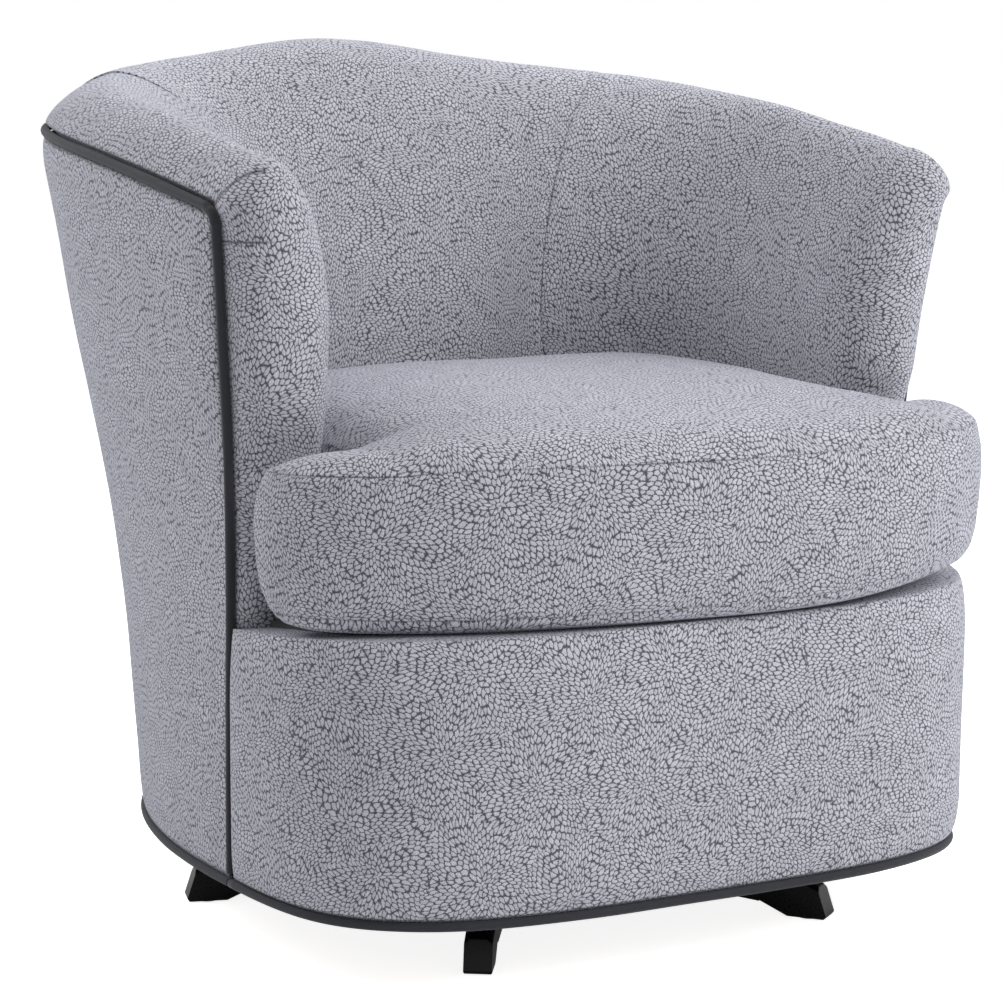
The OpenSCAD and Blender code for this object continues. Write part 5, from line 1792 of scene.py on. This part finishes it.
@dataclass
class DeckAndDustCover:
    """Cloth over the seat springs and the thin cover under the frame."""

    form: ChairForm
    front_inset: float = 0.028
    ripple: float = 0.0006
    ripple_run: float = 0.012
    sunk: float = 0.0008
    hole: float = 0.132
    dust_z: float = 0.0902
    dust_inset: float = 0.058

    def _deck(self, material: Material) -> Piece:
        """Make the padded deck cloth.

        Args:
            material: What it is dressed in.

        Returns:
            The finished piece.
        """
        f = self.form
        u = np.linspace(-1, 1, 81)
        pad = lerp(f.pad_back_t, f.pad_arm_t, ease(np.abs(u) * 1.3))
        back = f.pad_place(u, f.inside_depth(u) - pad + 0.001, f.deck_z)
        front = f.front_pt(f.front_end * u, f.rail_top(f.front_end * u) - 0.004, self.front_inset)
        w = np.linspace(0, 1, 60)[:, None, None]
        points = lerp(back[None], front[None], w)
        points[..., 2] += self.ripple * np.sin(points[..., 1] / self.ripple_run) - self.sunk
        points = f.placed(points)[:, ::-1]
        return seat_piece(Cover("seat_deck_cloth", points, points[..., :2]).build(material), "seat_deck")

    def _dust_cover(self, material: Material) -> Piece:
        """Make the thin cover, cut out round the turntable.

        Args:
            material: What it is dressed in.

        Returns:
            The finished piece.
        """
        f = self.form
        u = np.linspace(-1, 1, 121)
        v = f.front_end * np.linspace(1, -1, 81)[1:-1]
        rim = np.concatenate([f.shell_pt(u, np.full(u.shape, self.dust_z), self.dust_inset),
                              f.front_pt(v, np.full(v.shape, self.dust_z), self.dust_inset)])
        rim = np.concatenate([rim, rim[:1]])
        angle = np.arctan2(rim[:, 1], rim[:, 0])
        inner = xyz(self.hole * np.cos(angle), self.hole * np.sin(angle), self.dust_z)
        points = f.placed(lerp(inner[None], rim[None], np.linspace(0, 1, 18)[:, None, None]))
        cover = Cover("dust_cover_cloth", points, points[..., :2], thickness=0.0008, closed_across=True,
                      turned=True)
        made = put_in_place(cover.build(material), "dust_cover", "chair")
        return made

    def build(self, material: Material) -> list[Piece]:
        """Make both cloths."""
        return [self._deck(material), self._dust_cover(material)]


def seat_covers(covers: Sequence[Cover], material: Material) -> list[Piece]:
    """Build covers and seat each in place of the CAD node that its name starts with."""
    return [seat_piece(cover.build(material), cover.name.removesuffix("_cover")) for cover in covers]


def put_in_place(piece: Piece, node: str, body: str) -> Piece:
    """Put a piece on its body in place of a CAD node.

    Args:
        piece: The finished piece.
        node: The CAD node that it stands for.
        body: The body that it rides on.

    Returns:
        The piece.
    """
    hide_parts(node)
    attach(piece, body)
    return piece


def seat_piece(piece: Piece, node: str, body: str = "chair") -> Piece:
    """Put a padded piece in its place.

    Args:
        piece: The finished piece.
        node: The CAD node that it stands for.
        body: The body that it rides on.

    Returns:
        The piece.
    """
    put_in_place(piece, node, body)
    return piece


class Hardware:
    """Dresses the rigid CAD nodes in their finishes."""

    BLACK = ("base_hub", *(f"{part}_{k}" for part in ("prong", "toe_cap") for k in range(1, 6)))
    ZINC = ("lower_race", "upper_race", "race_bolts", "centre_bolt", "centre_nut", "bracket_screws", "slat_bolts",
            "shaft_collars", "seat_spring_clips", "bearing_balls", "pivot_shaft")
    TIMBER = ("mounting_slats", "slat_cleats", "bottom_hoop", "lower_posts", "front_board", "deck_hoop",
              "rear_spring_rail", "back_ribs", "top_hoop")

    def __init__(self, nodes: dict[str, Piece], shop: Workshop) -> None:
        """Build the finishes and note what each node wears.

        Args:
            nodes: The CAD nodes by name.
            shop: Workshop with the shared node groups.
        """
        self.nodes = nodes
        self.wear: dict[str, Material] = {}
        plan = [
            (self.BLACK, HardFinish("black_metal", (0.0045, 0.0045, 0.0055), 0.30, shine=0.16)),
            (self.ZINC, HardFinish("zinc_steel", (0.62, 0.62, 0.64), 0.34, metallic=1.0)),
            (("rocker_lower_bracket", "rocker_upper_bracket"),
             HardFinish("bracket_steel", (0.05, 0.05, 0.055), 0.42, coat=0.2)),
            (("rocker_springs", "seat_spring_wires"), HardFinish("spring_steel", (0.30, 0.29, 0.28), 0.38,
                                                                 metallic=1.0)),
            (("ball_cage",), HardFinish("brass_cage", (0.66, 0.46, 0.18), 0.3, metallic=1.0)),
            (("toe_glides", "pivot_bushes"), HardFinish("glide_nylon", (0.66, 0.66, 0.62), 0.5)),
            (("rear_bumper", "front_bumper"), HardFinish("bumper_rubber", (0.022, 0.022, 0.022), 0.85)),
            (self.TIMBER, SawnTimber()),
        ]
        for names, finish in plan:
            material = finish.build(shop)
            self.wear.update(dict.fromkeys(names, material))

    def dress(self) -> None:
        """Put the finishes on the nodes."""
        for name, material in self.wear.items():
            node = self.nodes[name]
            if not node.material_slots:
                node.data.materials.append(material)
            for slot in node.material_slots:
                slot.material = material
            LOG.info("dressed %s in %s", name, material.name)


def aimed(name: str, data: bpy.types.ID, at: Vector, target: Vector) -> Piece:
    """Stand a lamp or the camera in its place, aimed at a target.

    Args:
        name: The object's name.
        data: Its lamp or camera data.
        at: Where it stands.
        target: What it faces.

    Returns:
        The object.
    """
    made = bpy.data.objects.new(name, data)
    made.location = at
    made.rotation_mode = "QUATERNION"
    made.rotation_quaternion = (target - at).to_track_quat("-Z", "Y")
    bpy.context.scene.collection.objects.link(made)
    return made


@dataclass
class Studio:
    """Pale floor, plain soft light and the camera."""

    form: ChairForm
    camera_at: Triple = (-1.4450, -2.4929, 0.7602)
    target: Triple = (-0.0067, 0.0139, 0.3708)
    lens: float = 110.8
    lamps: tuple[tuple[str, Triple, float, float], ...] = (
        ("key_lamp", (1.6, -2.6, 2.6), 2.2, 76.0), ("side_lamp", (2.9, -0.9, 1.9), 2.0, 30.0),
        ("front_lamp", (-0.9, -3.2, 1.5), 2.0, 7.0), ("right_rear_lamp", (1.8, 1.8, 2.6), 2.2, 40.0),
        ("left_rear_lamp", (-1.8, 1.6, 2.6), 2.2, 55.0))
    lamp_target_z: float = 0.4
    room_light: float = 0.302
    floor_glow: float = 0.87

    def _camera(self) -> None:
        """Stand the camera where the picture was taken from."""
        data = bpy.data.cameras.new("camera")
        data.lens = self.lens
        data.sensor_width = 36.0
        data.clip_end = 100.0
        shift = Vector((0.0, self.form.swivel_y, 0.0))
        bpy.context.scene.camera = aimed("camera", data, Vector(self.camera_at) + shift,
                                         Vector(self.target) + shift)

    def _lamp(self, name: str, at: Triple, size: float, power: float) -> None:
        """Hang one soft square lamp that faces the seat.

        Args:
            name: The object's name.
            at: Where it hangs.
            size: Length of its side.
            power: Its power in watts.
        """
        data = bpy.data.lights.new(name, "AREA")
        data.shape = "SQUARE"
        data.size = size
        data.energy = power
        aimed(name, data, Vector(at), Vector((0, 0, self.lamp_target_z)))

    def _world(self) -> None:
        """Light the room evenly, with a white backdrop for the camera and for reflections."""
        world = bpy.data.worlds.new("studio")
        b = cleared_bench(world)
        rays = b.node("LightPath")
        seen = b.sum("MAXIMUM", b.sum("MAXIMUM", rays.outputs["Is Camera Ray"], rays.outputs["Is Glossy Ray"]),
                     rays.outputs["Is Transmission Ray"])
        room = b.set(b.node("Background"), Color=(0.96, 0.97, 1.0), Strength=self.room_light)
        backdrop = b.set(b.node("Background"), Color=(1.0, 1.0, 1.0), Strength=1.0)
        mix = b.wire(b.node("MixShader"), seen, room.outputs[0], backdrop.outputs[0])
        b.set(b.node("OutputWorld"), Surface=mix.outputs[0])
        bpy.context.scene.world = world

    def _floor(self) -> None:
        """Lay the pale floor, which keeps the chair's shadow."""
        material = bpy.data.materials.new("pale_floor")
        b = cleared_bench(material)
        matt = b.set(b.node("BsdfDiffuse"), Color=(0.86, 0.86, 0.87))
        rays = b.node("LightPath")
        mirrored = b.sum("MULTIPLY", rays.outputs["Is Glossy Ray"], 0.12)
        seen = b.sum("MAXIMUM", rays.outputs["Is Camera Ray"], mirrored)
        glow = b.set(b.node("Emission"), Strength=b.sum("MULTIPLY", seen, self.floor_glow))
        add = b.wire(b.node("AddShader"), matt.outputs[0], glow.outputs[0])
        b.set(b.node("OutputMaterial"), Surface=add.outputs[0])
        bm = bmesh.new()
        bmesh.ops.create_grid(bm, x_segments=4, y_segments=4, size=14.0)
        finish_mesh(bm, "studio_floor", material)

    def build(self) -> None:
        """Set up the camera, lamps, world and floor."""
        self._camera()
        self._world()
        self._floor()
        for lamp in self.lamps:
            self._lamp(*lamp)
        bpy.context.scene.view_settings.view_transform = "Standard"


def main() -> None:
    """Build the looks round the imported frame."""
    logging.basicConfig(level=logging.INFO, format="%(name)s: %(message)s")
    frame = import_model()
    form = ChairForm()
    shop = Workshop()
    Studio(form).build()
    Hardware(frame["nodes"], shop).dress()
    petal = PetalFabric().build(shop)
    trim = TwillTrim().build(shop)
    deck = DeckCloth().build(shop)
    builders: list[tuple[object, Material]] = [
        (OutsideCovers(form), petal), (InsideCovers(form), petal), (ArmFronts(form), petal),
        (FrontRailCover(form), petal), (SeatCushion(form), petal), (Trims(form), trim),
        (DeckAndDustCover(form), deck)]
    for builder, material in builders:
        for piece in builder.build(material):
            LOG.info("%s: %d faces", piece.name, len(piece.data.polygons))


if __name__ == "__main__":
    main()
